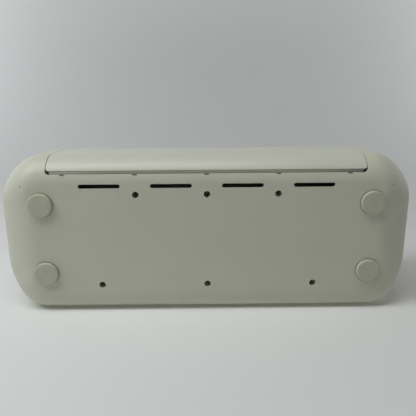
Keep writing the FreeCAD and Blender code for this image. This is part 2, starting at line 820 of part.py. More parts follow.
pocket = block(
    "pocket",
    ("pocket_left", "pocket_left + pocket_width"),
    ("door_back - pocket_depth", "door_back + wall"),
    ("pocket_floor", "pocket_top"),
)
flap_seat = block(
    "flap_seat",
    ("pocket_left - flap_ledge", "pocket_left + pocket_width + flap_ledge"),
    ("door_back - flap_thickness - sliding_gap", "door_back + wall"),
    ("pocket_floor - flap_ledge", "pocket_top + flap_ledge"),
)
flap_pin_y = "door_back - flap_thickness / 2 - sliding_gap / 2"
flap_pin_level = "pocket_top + flap_ledge / 2"
flap_pin_bore = rod(
    "flap_pin_bore", "x", "flap_pin_radius + running_gap", "pocket_width + 4 * flap_ledge",
    "pocket_left - 2 * flap_ledge", flap_pin_y, flap_pin_level,
)
door_liner = keep(
    less(
        "door_liner",
        door_liner_solid,
        *hinge_bores("door", "door_pivot_y", "door_pivot_level"),
        pocket,
        flap_seat,
        flap_pin_bore,
    )
)

flap_plate = block(
    "flap_plate",
    ("pocket_left - flap_ledge + sliding_gap", "pocket_left + pocket_width + flap_ledge - sliding_gap"),
    ("door_back - flap_thickness", "door_back"),
    ("pocket_floor - flap_ledge + sliding_gap", flap_pin_level),
)
flap_pin = rod(
    "flap_pin", "x", "flap_pin_radius", "pocket_width + 4 * flap_ledge - 2 * sliding_gap",
    "pocket_left - 2 * flap_ledge + sliding_gap", flap_pin_y, flap_pin_level,
)
compartment_flap = keep(joined("compartment_flap", flap_plate, flap_pin))

# ---------------------------------------------------------------------------------------------------------
# Lid: a skin with a liner under it; the skin ends at the back in a rolled edge that turns on two pins
# ---------------------------------------------------------------------------------------------------------

lid_area = block(
    "lid_area",
    ("-door_half", "door_half"),
    ("front - wall", "lid_edge_y"),
    ("lid_seam_level + seam_gap / 2", "overall_height + wall"),
)
lid_roll_bar = rod(
    "lid_roll_bar", "x", "lid_roll", "door_width", "-door_half", "lid_pivot_y", "lid_pivot_level"
)
lid_skin = less("lid_skin", shared("lid_blank", case_outside, lid_area), skin_inside)
lid_shell = keep(
    less(
        "lid_shell",
        joined("lid_solid", lid_skin, lid_roll_bar),
        *hinge_bores("lid", "lid_pivot_y", "lid_pivot_level"),
    )
)

lid_liner_area = block(
    "lid_liner_area",
    ("-door_half + skin / 4", "door_half - skin / 4"),
    ("front", "lid_pivot_y - lid_roll"),
    ("lid_seam_level + skin", "overall_height"),
)
lid_liner_skin = shared("lid_liner_blank", skin_inside, lid_liner_area)
lid_liner = keep(less("lid_liner", lid_liner_skin, liner_inside))


def hinge_pins(name, y, z):
    """A pair of pins held in the cheeks, each reaching into a rolled edge."""
    pins = []
    for side, end in (("-1", "left"), ("1", "right")):
        inner = "cheek_half + wall / 2 - hinge_pin_length"
        start = inner if side == "1" else "-cheek_half - wall / 2"
        pins.append(rod(f"{name}_{end}", "x", "hinge_pin_radius", "hinge_pin_length", start, y, z))
    return keep(group(name, *pins))


lid_hinge_pins = hinge_pins("lid_hinge_pins", "lid_pivot_y", "lid_pivot_level")
door_hinge_pins = hinge_pins("door_hinge_pins", "door_pivot_y", "door_pivot_level")

# ---------------------------------------------------------------------------------------------------------
# Rubber feet and housing screws
# ---------------------------------------------------------------------------------------------------------

FOOT_PROFILE = [
    ("0", "0"),
    ("foot_radius - 1.6", "0"),
    ("foot_radius - 0.4", "1.2"),
    ("foot_radius", "foot_height - 1"),
    ("foot_radius", "foot_height + foot_recess"),
    ("0", "foot_height + foot_recess"),
]
for name, (across, along) in FOOT_PLACES.items():
    keep(turned(name, "z", FOOT_PROFILE, across, along, "0"))

screws = []
for number, (across, along) in enumerate(SCREW_PLACES, 1):
    head = rod(
        f"screw_head_{number}",
        "z",
        "screw_head_radius",
        "screw_head_height",
        across,
        along,
        "well_floor - screw_head_height",
    )
    shank = rod(
        f"screw_shank_{number}", "z", "screw_radius", "boss_web + screw_grip", across, along, "well_floor"
    )
    screws.append(joined(f"screw_{number}", head, shank))
housing_screws = keep(group("housing_screws", *screws))

# ---------------------------------------------------------------------------------------------------------
# Cutting deck and mat guides
# ---------------------------------------------------------------------------------------------------------

deck_plate = rounded(
    "deck_plate",
    block(
        "deck_blank",
        ("-deck_half", "deck_half"),
        ("deck_front", "deck_rear"),
        ("deck_under", "mat_level"),
    ),
    size("deck_thickness") * 0.6,
    lambda low, high: low.y < size("deck_front") + 1e-3 and high.y < size("deck_front") + 1e-3
    and low.z > size("mat_level") - 1e-3 and high.z > size("mat_level") - 1e-3,
)
deck_posts = [
    rod(
        f"deck_post_{number}",
        "z",
        "post_radius",
        "deck_under + deck_thickness / 2 - boss_top",
        across,
        along,
        "boss_top",
    )
    for number, (across, along) in enumerate(SCREW_PLACES, 1)
]
post_holes = [
    rod(f"post_hole_{number}", "z", "screw_radius + running_gap", "screw_grip + 1", across, along, "boss_top")
    for number, (across, along) in enumerate(SCREW_PLACES, 1)
]
grip_slots = []
for side, end in (("-1", "left"), ("1", "right")):
    grip_slots.append(
        block(
            f"grip_slot_{end}",
            (
                f"{side} * grip_x - grip_width / 2 - grip_slot_gap",
                f"{side} * grip_x + grip_width / 2 + grip_slot_gap",
            ),
            ("-grip_radius - grip_slot_gap", "grip_radius + grip_slot_gap"),
            ("0", "overall_height"),
        )
    )
cutting_deck = keep(
    less("cutting_deck", joined("deck_with_posts", deck_plate, *deck_posts), *post_holes, *grip_slots)
)

GUIDE_SIDE = [
    ("0", "0"),
    ("guide_length", "0"),
    ("guide_length", "guide_height"),
    ("guide_length / 3", "guide_height"),
    ("0", "guide_height / 4"),
]
guides = [
    cast(
        f"mat_guide_{end}", "YZ_Plane", GUIDE_SIDE, "guide_width",
        f"{side} * guide_x - guide_width / 2", "deck_front + guide_width", "mat_level",
    )
    for side, end in (("-1", "left"), ("1", "right"))
]
mat_guides = keep(group("mat_guides", *guides))

# ---------------------------------------------------------------------------------------------------------
# Side frames, bushes, drive roller and its gears
# ---------------------------------------------------------------------------------------------------------

FRAME_OUTLINE = [
    ("-frame_front", "floor_level"),
    ("frame_rear", "floor_level"),
    ("frame_rear", "mat_level + 8"),
    ("rail_back + 14", "rail_level - 6"),
    ("rail_back + 14", "frame_top"),
    ("rail_front - 8", "frame_top"),
    ("rail_front - 12", "chassis_floor"),
    ("-frame_front", "mat_level + 8"),
]
FRAME_HOLES = [
    ("0", "roller_level", "bush_radius"),
    ("pinion_y", "pinion_level", "motor_shaft_radius + 1"),
    ("rail_back + 5", "mat_level + 14", "6"),
    ("frame_rear - 14", "roller_level - 6", "8"),
]
for side, end in (("-1", "left"), ("1", "right")):
    start = "frame_half" if side == "1" else "-frame_outside"
    keep(
        cast(f"side_frame_{end}", "YZ_Plane", FRAME_OUTLINE, "frame_thickness", start, "0", "0", FRAME_HOLES)
    )
    bush = turned(
        f"roller_bush_{end}",
        "x",
        [
            ("roller_shaft_radius + running_gap", "0"),
            ("bush_flange_radius", "0"),
            ("bush_flange_radius", "bush_flange"),
            ("bush_radius - running_gap", "bush_flange"),
            ("bush_radius - running_gap", "bush_flange + frame_thickness"),
            ("roller_shaft_radius + running_gap", "bush_flange + frame_thickness"),
        ],
        f"{side} * (frame_half - bush_flange)",
        "0",
        "roller_level",
    )
    if side == "-1":
        bush.Placement = Placement(Vector(), Rotation(Vector(0, 1, 0), -90))
    keep(bush)

GRIP_STEP = [
    ("roller_shaft_radius", "grip_x - grip_width / 2"),
    ("grip_radius", "grip_x - grip_width / 2"),
    ("grip_radius", "grip_x + grip_width / 2"),
    ("roller_shaft_radius", "grip_x + grip_width / 2"),
]
ROLLER_PROFILE = (
    [("0", "-gear_inside - gear_width"), ("roller_shaft_radius", "-gear_inside - gear_width")]
    + [(radius, f"-({along})") for radius, along in reversed(GRIP_STEP)]
    + GRIP_STEP
    + [("roller_shaft_radius", "frame_outside + bush_flange"), ("0", "frame_outside + bush_flange")]
)
drive_roller = keep(turned("drive_roller", "x", ROLLER_PROFILE, "0", "0", "roller_level"))


def gear_face(teeth):
    """A spur gear's face.

    Each flank is the involute of the base circle, taken at a few radii from the root to the tip. The tooth is
    centred on +X.
    """
    module = size("gear_module")
    pressure = math.radians(20)
    pitch_radius = module * teeth / 2
    base_radius = pitch_radius * math.cos(pressure)
    root_radius = pitch_radius - 1.25 * module
    tip_radius = pitch_radius + module
    half_tooth = math.pi / (2 * teeth) + math.tan(pressure) - pressure
    start_radius = max(base_radius, root_radius)
    flank = []
    for step in range(6):
        radius = start_radius + (tip_radius - start_radius) * step / 5
        roll = math.acos(min(1.0, base_radius / radius))
        flank.append((radius, half_tooth - (math.tan(roll) - roll)))
    points = []
    for tooth in range(teeth):
        centre = 2 * math.pi * tooth / teeth
        foot = half_tooth
        points.append((root_radius, centre - foot))
        points += [(radius, centre - angle) for radius, angle in flank]
        points += [(radius, centre + angle) for radius, angle in reversed(flank)]
        points.append((root_radius, centre + foot))
    corners = [Vector(radius * math.cos(angle), radius * math.sin(angle), 0) for radius, angle in points]
    kept = [
        corner for corner, after in zip(corners, corners[1:] + corners[:1]) if (corner - after).Length > 1e-6
    ]
    return Part.Face(Part.makePolygon(kept + kept[:1]))


def spur_gear(label, teeth, bore, spin, x, y, z):
    """A spur gear whose axis is X, turned so that its first tooth points at the given angle."""
    gear = doc.addObject("Part::Feature", label)
    width = size("gear_width")
    gear.Shape = gear_face(teeth).extrude(Vector(0, 0, width)).cut(Part.makeCylinder(bore, width))
    gear.Placement = Placement(Vector(x, y, z), TURN_TO["x"].multiply(Rotation(Vector(0, 0, 1), spin)))
    return gear


GEAR_LEFT = -size("gear_inside") - size("gear_width")
roller_teeth = int(size("roller_gear_teeth"))
pinion_teeth = int(size("pinion_teeth"))
# With its axis along X a gear's own +X points down and its +Y along +Y, so a tooth aims at the pinion when it
# is turned by the angle from straight down to the line of centres.
line_of_centres = QUARTER_TURN - size("pinion_angle")
roller_gear = keep(
    spur_gear(
        "roller_gear",
        roller_teeth,
        size("roller_shaft_radius"),
        line_of_centres,
        GEAR_LEFT,
        0,
        size("roller_level"),
    )
)
pinion_spin = line_of_centres + 2 * QUARTER_TURN + 2 * QUARTER_TURN / pinion_teeth
pinion_rim = spur_gear(
    "pinion_rim", pinion_teeth, size("motor_shaft_radius") / 2, pinion_spin,
    GEAR_LEFT, size("pinion_y"), size("pinion_level"),
)
pinion_shaft = rod(
    "pinion_shaft", "x", "motor_shaft_radius",
    "gear_width + gear_to_frame + frame_thickness + motor_shaft_depth - 1",
    "-gear_inside - gear_width", "pinion_y", "pinion_level",
)
motor_pinion = keep(joined("motor_pinion", pinion_rim, pinion_shaft))


def motor(label, radius, length, axis, x, y, z):
    """A can motor: a round can with a rounded rear edge and a bore for its shaft in the front face."""
    return turned(
        label,
        axis,
        [
            ("motor_shaft_radius + running_gap", "0"),
            (radius, "0"),
            (radius, f"{length} - 2"),
            (f"{radius} - 2", length),
            ("0", length),
            ("0", "motor_shaft_depth"),
            ("motor_shaft_radius + running_gap", "motor_shaft_depth"),
        ],
        x, y, z,
    )


roller_motor = keep(
    motor(
        "roller_motor",
        "roller_motor_radius",
        "roller_motor_length",
        "x",
        "-frame_half",
        "pinion_y",
        "pinion_level",
    )
)

# ---------------------------------------------------------------------------------------------------------
# Pinch rollers on their bar
# ---------------------------------------------------------------------------------------------------------

bar_half = "pinch_bar_size / 2"
pinch_beam = block(
    "pinch_beam",
    ("-frame_half", "frame_half"),
    (f"pinch_bar_behind - {bar_half}", f"pinch_bar_behind + {bar_half}"),
    (f"pinch_level + 4 - {bar_half}", f"pinch_level + 4 + {bar_half}"),
)
ears = []
pins = []
for side, end in (("-1", "left"), ("1", "right")):
    middle = f"{side} * grip_x"
    for number, way in enumerate((-1, 1), 1):
        inner = f"{middle} + {way} * (pinch_width / 2 + sliding_gap)"
        outer = f"{middle} + {way} * (pinch_width / 2 + sliding_gap + pinch_ear)"
        ears.append(
            block(
                f"ear_{end}_{number}",
                (outer, inner) if way < 0 else (inner, outer),
                ("-pinch_pin_radius - 2", "pinch_bar_behind"),
                ("pinch_level - pinch_pin_radius - 1.5", "pinch_level + pinch_pin_radius + 2"),
            )
        )
    pins.append(
        rod(
            f"pinch_pin_{end}", "x", "pinch_pin_radius", "pinch_width + 2 * sliding_gap + 2 * pinch_ear",
            f"{middle} - pinch_width / 2 - sliding_gap - pinch_ear", "0", "pinch_level",
        )
    )
    keep(
        turned(
            f"pinch_roller_{end}",
            "x",
            [
                ("pinch_pin_radius + running_gap", "0"),
                ("pinch_radius - 0.8", "0"),
                ("pinch_radius", "0.8"),
                ("pinch_radius", "pinch_width - 0.8"),
                ("pinch_radius - 0.8", "pinch_width"),
                ("pinch_pin_radius + running_gap", "pinch_width"),
            ],
            f"{middle} - pinch_width / 2", "0", "pinch_level",
        )
    )
pin_holes = rod("pin_holes", "x", "pinch_pin_radius", FAR, f"-{FAR} / 2", "0", "pinch_level")
pinch_bar = keep(less("pinch_bar", joined("pinch_bar_solid", pinch_beam, *ears), pin_holes))
pinch_pins = keep(group("pinch_pins", *pins))

# ---------------------------------------------------------------------------------------------------------
# Rail, belt, pulleys and belt motor
# ---------------------------------------------------------------------------------------------------------

rail_middle = "rail_level + rail_height / 2"
RAIL_OUTLINE = [
    ("rail_front", "rail_level"),
    ("rail_back", "rail_level"),
    ("rail_back", f"{rail_middle} - rail_groove"),
    ("rail_back - rail_groove", f"{rail_middle} - rail_groove / 2"),
    ("rail_back - rail_groove", f"{rail_middle} + rail_groove / 2"),
    ("rail_back", f"{rail_middle} + rail_groove"),
    ("rail_back", "rail_top"),
    ("rail_front", "rail_top"),
    ("rail_front", f"{rail_middle} + rail_groove"),
    ("rail_front + rail_groove", f"{rail_middle} + rail_groove / 2"),
    ("rail_front + rail_groove", f"{rail_middle} - rail_groove / 2"),
    ("rail_front", f"{rail_middle} - rail_groove"),
]
carriage_rail = keep(
    cast("carriage_rail", "YZ_Plane", RAIL_OUTLINE, "frame_spacing", "-frame_half", "0", "0")
)


def belt_loop(label, radius):
    """A long round-ended plug the size of the belt's inside or outside."""
    straight = block(
        f"{label}_straight",
        ("-pulley_x", "pulley_x"),
        ("belt_front", "belt_back"),
        (f"belt_level - ({radius})", f"belt_level + ({radius})"),
    )
    turns = [
        rod(
            f"{label}_turn_{end}", "y", radius, "belt_width", f"{side} * pulley_x", "belt_front", "belt_level"
        )
        for side, end in (("-1", "left"), ("1", "right"))
    ]
    return joined(label, straight, *turns)


drive_belt = keep(
    less("drive_belt", belt_loop("belt_outside", "belt_outer"), belt_loop("belt_inside", "belt_inner"))
)


def toothed_pulley(label, x, bore, shaft_length):
    """A belt pulley: a flanged wheel with grooves cut all round its seat.

    A bore of 0 gives it a shaft that runs back into its motor instead.
    """
    near = "0"
    far = "belt_width + 2 * pulley_flange + sliding_gap"
    outline = [
        (bore, near),
        ("pulley_radius + pulley_flange / 2", near),
        ("pulley_radius + pulley_flange / 2", "pulley_flange * 0.6"),
        ("pulley_radius", "pulley_flange * 0.6"),
        ("pulley_radius", f"{far} - pulley_flange * 0.6"),
        ("pulley_radius + pulley_flange / 2", f"{far} - pulley_flange * 0.6"),
        ("pulley_radius + pulley_flange / 2", far),
    ]
    if shaft_length:
        outline += [
            ("motor_shaft_radius", far),
            ("motor_shaft_radius", f"{far} + {shaft_length}"),
            ("0", f"{far} + {shaft_length}"),
        ]
    else:
        outline += [(bore, far)]
    wheel = turned(label, "y", outline, x, "belt_front - pulley_flange - sliding_gap", "belt_level")
    sketch = new_sketch(wheel, "XY_Plane", label + "_groove")
    add_circle(sketch, "pulley_radius", "0", "pulley_radius * 0.09")
    groove = wheel.newObject("PartDesign::Pocket", label + "_cut")
    groove.Profile = sketch
    groove.Reversed = True
    bind(groove, "Length", far)
    doc.recompute()
    ring = wheel.newObject("PartDesign::PolarPattern", label + "_teeth")
    ring.Originals = [groove]
    ring.Axis = (sketch, ["N_Axis"])
    ring.Angle = 360
    bind(ring, "Occurrences", "pulley_teeth")
    wheel.Tip = ring
    return wheel


belt_pulley = keep(
    toothed_pulley("belt_pulley", "pulley_x", "0", "bracket_thickness + motor_shaft_depth - 1")
)
idler_pulley = keep(toothed_pulley("idler_pulley", "-pulley_x", "motor_shaft_radius + running_gap", None))

pulley_front = "belt_front - pulley_flange - sliding_gap"
pulley_back = f"{pulley_front} + belt_width + 2 * pulley_flange + sliding_gap"
plate_front = f"{pulley_back} + sliding_gap"
plate_back = f"{plate_front} + bracket_thickness"


def pulley_bracket(label, side, hole):
    """A steel plate behind a pulley, folded forward at its outer edge to bear on the side frame."""
    plate = block(
        f"{label}_plate",
        span(side, "pulley_x - bracket_reach", "frame_half"),
        (plate_front, plate_back),
        ("belt_level - bracket_height / 2", "belt_level + bracket_height / 2"),
    )
    fold = block(
        f"{label}_fold",
        span(side, "frame_half - bracket_thickness", "frame_half"),
        ("rail_back + 1", plate_back),
        ("belt_level - bracket_height / 2", "belt_level + bracket_height / 2"),
    )
    bore = rod(f"{label}_bore", "y", hole, "20", f"{side} * pulley_x", f"{plate_front} - 10", "belt_level")
    return less(f"{label}_sheet", joined(f"{label}_folded", plate, fold), bore)


motor_bracket = keep(
    pulley_bracket("belt_motor_bracket", "1", "motor_shaft_radius + 1"), "belt_motor_bracket"
)
idler_axle = rod(
    "idler_axle", "y", "motor_shaft_radius", f"({plate_back}) - ({pulley_front}) + 1",
    "-pulley_x", f"{pulley_front} - 1", "belt_level",
)
idler_sheet = pulley_bracket("idler_bracket_plate", "-1", "motor_shaft_radius")
idler_bracket = keep(joined("idler_bracket", idler_sheet, idler_axle))
belt_motor = keep(
    motor("belt_motor", "belt_motor_radius", "belt_motor_length", "y", "pulley_x", plate_back, "belt_level")
)

# ---------------------------------------------------------------------------------------------------------
# Carriage: chassis on two glides, cover, belt clip and lift motor
# ---------------------------------------------------------------------------------------------------------

chassis_left = "carriage_home - chassis_width / 2"
chassis_back = "rail_front - sliding_gap"
CHASSIS_SIDE = [
    ("-chassis_front", "chassis_floor"),
    (chassis_back, "chassis_floor"),
    (chassis_back, "arm_low - hook_thickness"),
    ("rail_front + hook_reach", "arm_low - hook_thickness"),
    ("rail_front + hook_reach", "arm_low"),
    (chassis_back, "arm_low"),
    (chassis_back, "arm_high"),
    ("belt_back", "arm_high"),
    ("belt_back", "chassis_top"),
    ("-chassis_front", "chassis_top"),
]
chassis_block = cast("chassis_block", "YZ_Plane", CHASSIS_SIDE, "chassis_width", chassis_left, "0", "0")


def dovetail(label, across, low, high, ease):
    """A dovetail bar that stands upright behind a tool holder, eased on every side by a gap."""
    start = "-chassis_front - sliding_gap - 1"
    outline = [
        (f"-tail_neck / 2 - {ease}", "0"),
        (f"tail_neck / 2 + {ease}", "0"),
        (f"tail_neck / 2 + {ease}", "sliding_gap + 1"),
        (f"tail_width / 2 + {ease}", f"tail_depth + sliding_gap + 1 + {ease}"),
        (f"-tail_width / 2 - {ease}", f"tail_depth + sliding_gap + 1 + {ease}"),
        (f"-tail_neck / 2 - {ease}", "sliding_gap + 1"),
    ]
    return cast(label, "XY_Plane", outline, f"({high}) - ({low})", across, start, low)


TOOLS = {"a": "carriage_home - tool_pitch / 2", "b": "carriage_home + tool_pitch / 2"}
ways = [
    dovetail(f"way_{name}", across, "0", "overall_height", "sliding_gap") for name, across in TOOLS.items()
]
carriage_chassis = keep(less("carriage_chassis", chassis_block, *ways))

glides = [
    block(
        f"carriage_glide_{name}",
        (f"{chassis_left} + 6", f"{chassis_left} + chassis_width - 6"),
        ("rail_front", "rail_front + hook_reach"),
        (low, high),
    )
    for name, low, high in (
        ("upper", "rail_top + sliding_gap", "arm_high"),
        ("lower", "arm_low", "rail_level - sliding_gap"),
    )
]
carriage_glides = keep(group("carriage_glides", *glides))

belt_top = "belt_level + belt_outer"
belt_clip = keep(
    less(
        "belt_clip",
        block(
            "belt_clip_blank",
            ("carriage_home - clip_width / 2", "carriage_home + clip_width / 2"),
            ("rail_back + 1", "belt_back"),
            ("belt_level + 2", "arm_high"),
        ),
        block(
            "belt_clip_slot",
            ("carriage_home - clip_width / 2 - 1", "carriage_home + clip_width / 2 + 1"),
            ("belt_front - sliding_gap", "belt_back + 1"),
            ("belt_level + belt_inner - sliding_gap", f"{belt_top} + sliding_gap"),
        ),
    )
)

cover_blank = rounded(
    "cover_blank",
    block(
        "cover_block",
        (f"{chassis_left} - 1", f"{chassis_left} + chassis_width + 1"),
        ("-chassis_front - 1", "rail_back"),
        ("chassis_top", "chassis_top + cover_height"),
    ),
    size("cover_round"),
    lambda low, high: upright(low, high) or min(low.z, high.z) > size("chassis_top") + size("cover_round"),
)
cover_room = block(
    "cover_room",
    (f"{chassis_left} - 1 + cover_wall", f"{chassis_left} + chassis_width + 1 - cover_wall"),
    ("-chassis_front - 1 + cover_wall", "rail_back - cover_wall"),
    ("chassis_top - 1", "chassis_top + cover_height - cover_wall"),
)
carriage_cover = keep(less("carriage_cover", cover_blank, cover_room))
tool_lift_motor = keep(
    motor(
        "tool_lift_motor", "lift_motor_radius", "lift_motor_length", "x",
        "carriage_home - lift_motor_length / 2", "rail_front / 2 + lift_motor_radius",
        "chassis_top + lift_motor_radius",
    )
)

# ---------------------------------------------------------------------------------------------------------
# Tool holders with their clamp levers, and what they hold
# ---------------------------------------------------------------------------------------------------------

for name, across in TOOLS.items():
    holder_block = rounded(
        f"holder_{name}_rounded",
        block(
            f"holder_{name}_block",
            (f"{across} - holder_width / 2", f"{across} + holder_width / 2"),
            ("holder_front", "holder_back"),
            ("holder_floor", "holder_top"),
        ),
        size("holder_round"),
        lambda low, high: upright(low, high) and low.y < -size("tool_ahead"),
    )
    tail = dovetail(f"tail_{name}", across, "holder_floor", "holder_top", "0")
    bore = rod(
        f"tool_bore_{name}",
        "z",
        "tool_radius + running_gap",
        "holder_height + 2",
        across,
        "tool_y",
        "holder_floor - 1",
    )
    lever_seat = block(
        f"lever_seat_{name}",
        (f"{across} - lever_width / 2 - sliding_gap", f"{across} + lever_width / 2 + sliding_gap"),
        ("holder_front - 1", "holder_front + lever_thickness + sliding_gap"),
        ("holder_floor - 1", "holder_top + 1"),
    )
    lever_bore = rod(
        f"lever_bore_{name}", "x", "lever_pin_radius", "holder_width + 2",
        f"{across} - holder_width / 2 - 1", "lever_pin_y", "lever_pin_level",
    )
    keep(
        less(
            f"tool_holder_{name}",
            joined(f"holder_{name}_solid", holder_block, tail),
            bore,
            lever_seat,
            lever_bore,
        )
    )
    keep(
        rod(
            f"lever_pin_{name}",
            "x",
            "lever_pin_radius",
            "holder_width - 2",
            f"{across} - holder_width / 2 + 1",
            "lever_pin_y",
            "lever_pin_level",
        )
    )
    lever_plate = block(
        f"lever_plate_{name}",
        (f"{across} - lever_width / 2", f"{across} + lever_width / 2"),
        ("holder_front", "holder_front + lever_thickness"),
        ("lever_pin_level", "holder_floor + lever_height"),
    )
    lever_eye = rod(
        f"lever_eye_{name}", "x", "lever_thickness / 2", "lever_width",
        f"{across} - lever_width / 2", "lever_pin_y", "lever_pin_level",
    )
    lever_tab = cast(
        f"lever_tab_{name}",
        "YZ_Plane",
        [("0", "-1.4 * lever_tab"), ("0", "0"), ("-lever_tab", "0"), ("-lever_tab", "-lever_tab / 3")],
        "lever_width - 4",
        f"{across} - lever_width / 2 + 2",
        "holder_front",
        "holder_floor + lever_height",
    )
    lever_hole = rod(
        f"lever_hole_{name}", "x", "lever_pin_radius + running_gap", "lever_width + 2",
        f"{across} - lever_width / 2 - 1", "lever_pin_y", "lever_pin_level",
    )
    keep(
        less(
            f"clamp_lever_{name}",
            joined(f"lever_{name}_solid", lever_plate, lever_eye, lever_tab),
            lever_hole,
        )
    )

cap_level = "holder_top + running_gap"
accessory_adapter = keep(
    turned(
        "accessory_adapter",
        "z",
        [
            ("tool_radius - 3", "holder_floor + 2"),
            ("tool_radius - 0.8", "holder_floor + 2"),
            ("tool_radius", "holder_floor + 3"),
            ("tool_radius", cap_level),
            ("tool_radius + 1.6", cap_level),
            ("tool_radius + 1.6", f"{cap_level} + 2.5"),
            ("tool_radius - 3", f"{cap_level} + 2.5"),
        ],
        TOOLS["a"], "tool_y", "0",
    )
)
blade_housing = keep(
    turned(
        "blade_housing",
        "z",
        [
            ("blade_radius", "blade_level + blade_reach"),
            ("blade_sleeve", "blade_level + blade_reach"),
            ("blade_sleeve + 1.6", "holder_floor - 4"),
            ("tool_radius", "holder_floor - 1"),
            ("tool_radius", cap_level),
            ("tool_radius + 1.6", cap_level),
            ("tool_radius + 1.6", f"{cap_level} + 5"),
            ("tool_radius - 2", f"{cap_level} + 6.5"),
            ("0", f"{cap_level} + 6.5"),
            ("0", "holder_floor"),
            ("blade_radius", "holder_floor"),
        ],
        TOOLS["b"], "tool_y", "0",
    )
)
blade = keep(
    turned(
        "blade",
        "z",
        [
            ("0", "blade_level"),
            ("blade_radius * 0.9", "blade_level + blade_reach"),
            ("blade_radius * 0.9", "holder_floor"),
            ("0", "holder_floor"),
        ],
        TOOLS["b"], "tool_y", "0",
    )
)

# ---------------------------------------------------------------------------------------------------------
# Main board, sockets and board screws
# ---------------------------------------------------------------------------------------------------------

board_top = "board_level + board_thickness"
board_plate = block(
    "board_plate",
    ("board_left", "board_left + board_width"),
    ("board_front", "board_back"),
    ("board_level", board_top),
)
CHIPS = [
    ("board_width * 0.34", "board_depth * 0.49", "processor_size", "processor_size", "chip_height"),
    ("board_width * 0.6", "board_depth * 0.56", "driver_size", "driver_size", "chip_height"),
    ("board_width * 0.27", "board_depth * 0.24", "plug_length", "plug_width", "plug_height"),
    ("board_width * 0.75", "board_depth * 0.22", "plug_width", "plug_length", "plug_height"),
]
chips = [
    block(
        f"chip_{number}",
        (f"board_left + {left}", f"board_left + {left} + {wide}"),
        (f"board_front + {along}", f"board_front + {along} + {deep}"),
        (board_top, f"{board_top} + {tall}"),
    )
    for number, (left, along, wide, deep, tall) in enumerate(CHIPS, 1)
]
capacitors = [
    rod(
        f"capacitor_{number}", "z", "capacitor_radius", "capacitor_height",
        "board_left + board_width * 0.9", f"board_front + board_depth * {share}", board_top,
    )
    for number, share in enumerate((0.44, 0.61), 1)
]
post_screw_holes = [
    rod(
        f"board_hole_{number}",
        "z",
        "screw_radius + fit_gap",
        "board_thickness + 2",
        across,
        along,
        "board_level - 1",
    )
    for number, (across, along) in enumerate(BOARD_POSTS, 1)
]
main_board = keep(
    less("main_board", joined("board_solid", board_plate, *chips, *capacitors), *post_screw_holes)
)

board_screw_heads = [
    rod(f"board_screw_{number}", "z", "board_screw_head", "board_thickness", across, along, board_top)
    for number, (across, along) in enumerate(BOARD_POSTS, 1)
]
board_screws = keep(group("board_screws", *board_screw_heads))

socket_y = ("board_back + socket_proud - socket_length", "board_back + socket_proud")
socket_middle = f"{board_top} + socket_height / 2"
jack_body = block(
    "jack_body",
    ("jack_x - jack_width / 2", "jack_x + jack_width / 2"),
    socket_y,
    (board_top, f"{board_top} + socket_height"),
)
jack_mouth = rod(
    "jack_mouth", "y", "jack_radius", "socket_depth + 1",
    "jack_x", "board_back + socket_proud - socket_depth", socket_middle,
)
jack_pin = rod(
    "jack_pin", "y", "jack_pin_radius", "socket_depth",
    "jack_x", "board_back + socket_proud - socket_depth - 1", socket_middle,
)
power_jack = keep(joined("power_jack", less("jack_shell", jack_body, jack_mouth), jack_pin))

usb_body = block(
    "usb_body",
    ("usb_x - usb_width / 2", "usb_x + usb_width / 2"),
    socket_y,
    (board_top, f"{board_top} + socket_height"),
)
usb_room = block(
    "usb_room",
    ("usb_x - usb_width / 2 + usb_wall", "usb_x + usb_width / 2 - usb_wall"),
    ("board_back + socket_proud - socket_depth", "board_back + socket_proud + 1"),
    (f"{board_top} + usb_wall", f"{board_top} + socket_height - usb_wall"),
)
usb_tongue = block(
    "usb_tongue",
    ("usb_x - usb_width / 2 + 2 * usb_wall", "usb_x + usb_width / 2 - 2 * usb_wall"),
    ("board_back + socket_proud - socket_depth - 1", "board_back"),
    (f"{socket_middle} - usb_tongue_height / 2", f"{socket_middle} + usb_tongue_height / 2"),
)
usb_socket = keep(joined("usb_socket", less("usb_shell", usb_body, usb_room), usb_tongue))

# ---------------------------------------------------------------------------------------------------------
# Control panel, buttons and button board in the right end; tool cup in the left end
# ---------------------------------------------------------------------------------------------------------

panel_face = rounded(
    "panel_face",
    block(
        "panel_face_blank",
        ("panel_x - panel_width / 2", "panel_x + panel_width / 2"),
        ("-panel_length / 2", "panel_length / 2"),
        ("panel_under", "overall_height"),
    ),
    size("door_corner"),
    upright,
)
panel_rim = block(
    "panel_rim",
    ("panel_x - panel_width / 2", "panel_x + panel_width / 2"),
    ("-panel_length / 2 - panel_lip", "panel_length / 2 + panel_lip"),
    ("panel_under", "ceiling_level"),
)
panel_posts = [
    rod(
        f"panel_post_{number}", "z", "panel_post_radius", "panel_under - button_board_top + 1",
        "panel_x", f"{step} * (panel_length / 2 - panel_post_radius)", "button_board_top",
    )
    for number, step in enumerate((-1, 1), 1)
]
BUTTONS = {"power_button": 1.5, "load_button": 0.5, "go_button": -0.5, "pause_button": -1.5}
button_holes = [
    rod(
        f"{name}_hole",
        "z",
        "button_radius + fit_gap",
        "4 * wall",
        "panel_x",
        f"{step} * button_pitch",
        "panel_under - wall",
    )
    for name, step in BUTTONS.items()
]
control_panel = keep(
    less("control_panel", joined("panel_solid", panel_face, panel_rim, *panel_posts), *button_holes)
)

for name, step in BUTTONS.items():
    keep(
        turned(
            name,
            "z",
            [
                ("0", "-button_stem"),
                ("button_stem_radius", "-button_stem"),
                ("button_stem_radius", "-button_travel * 2"),
                ("button_radius + button_collar", "-button_travel * 2"),
                ("button_radius + button_collar", "-sliding_gap"),
                ("button_radius", "-sliding_gap"),
                ("button_radius", "overall_height - panel_under - button_proud"),
                ("button_radius - button_proud", "overall_height - panel_under"),
                ("0", "overall_height - panel_under"),
            ],
            "panel_x", f"{step} * button_pitch", "panel_under",
        )
    )

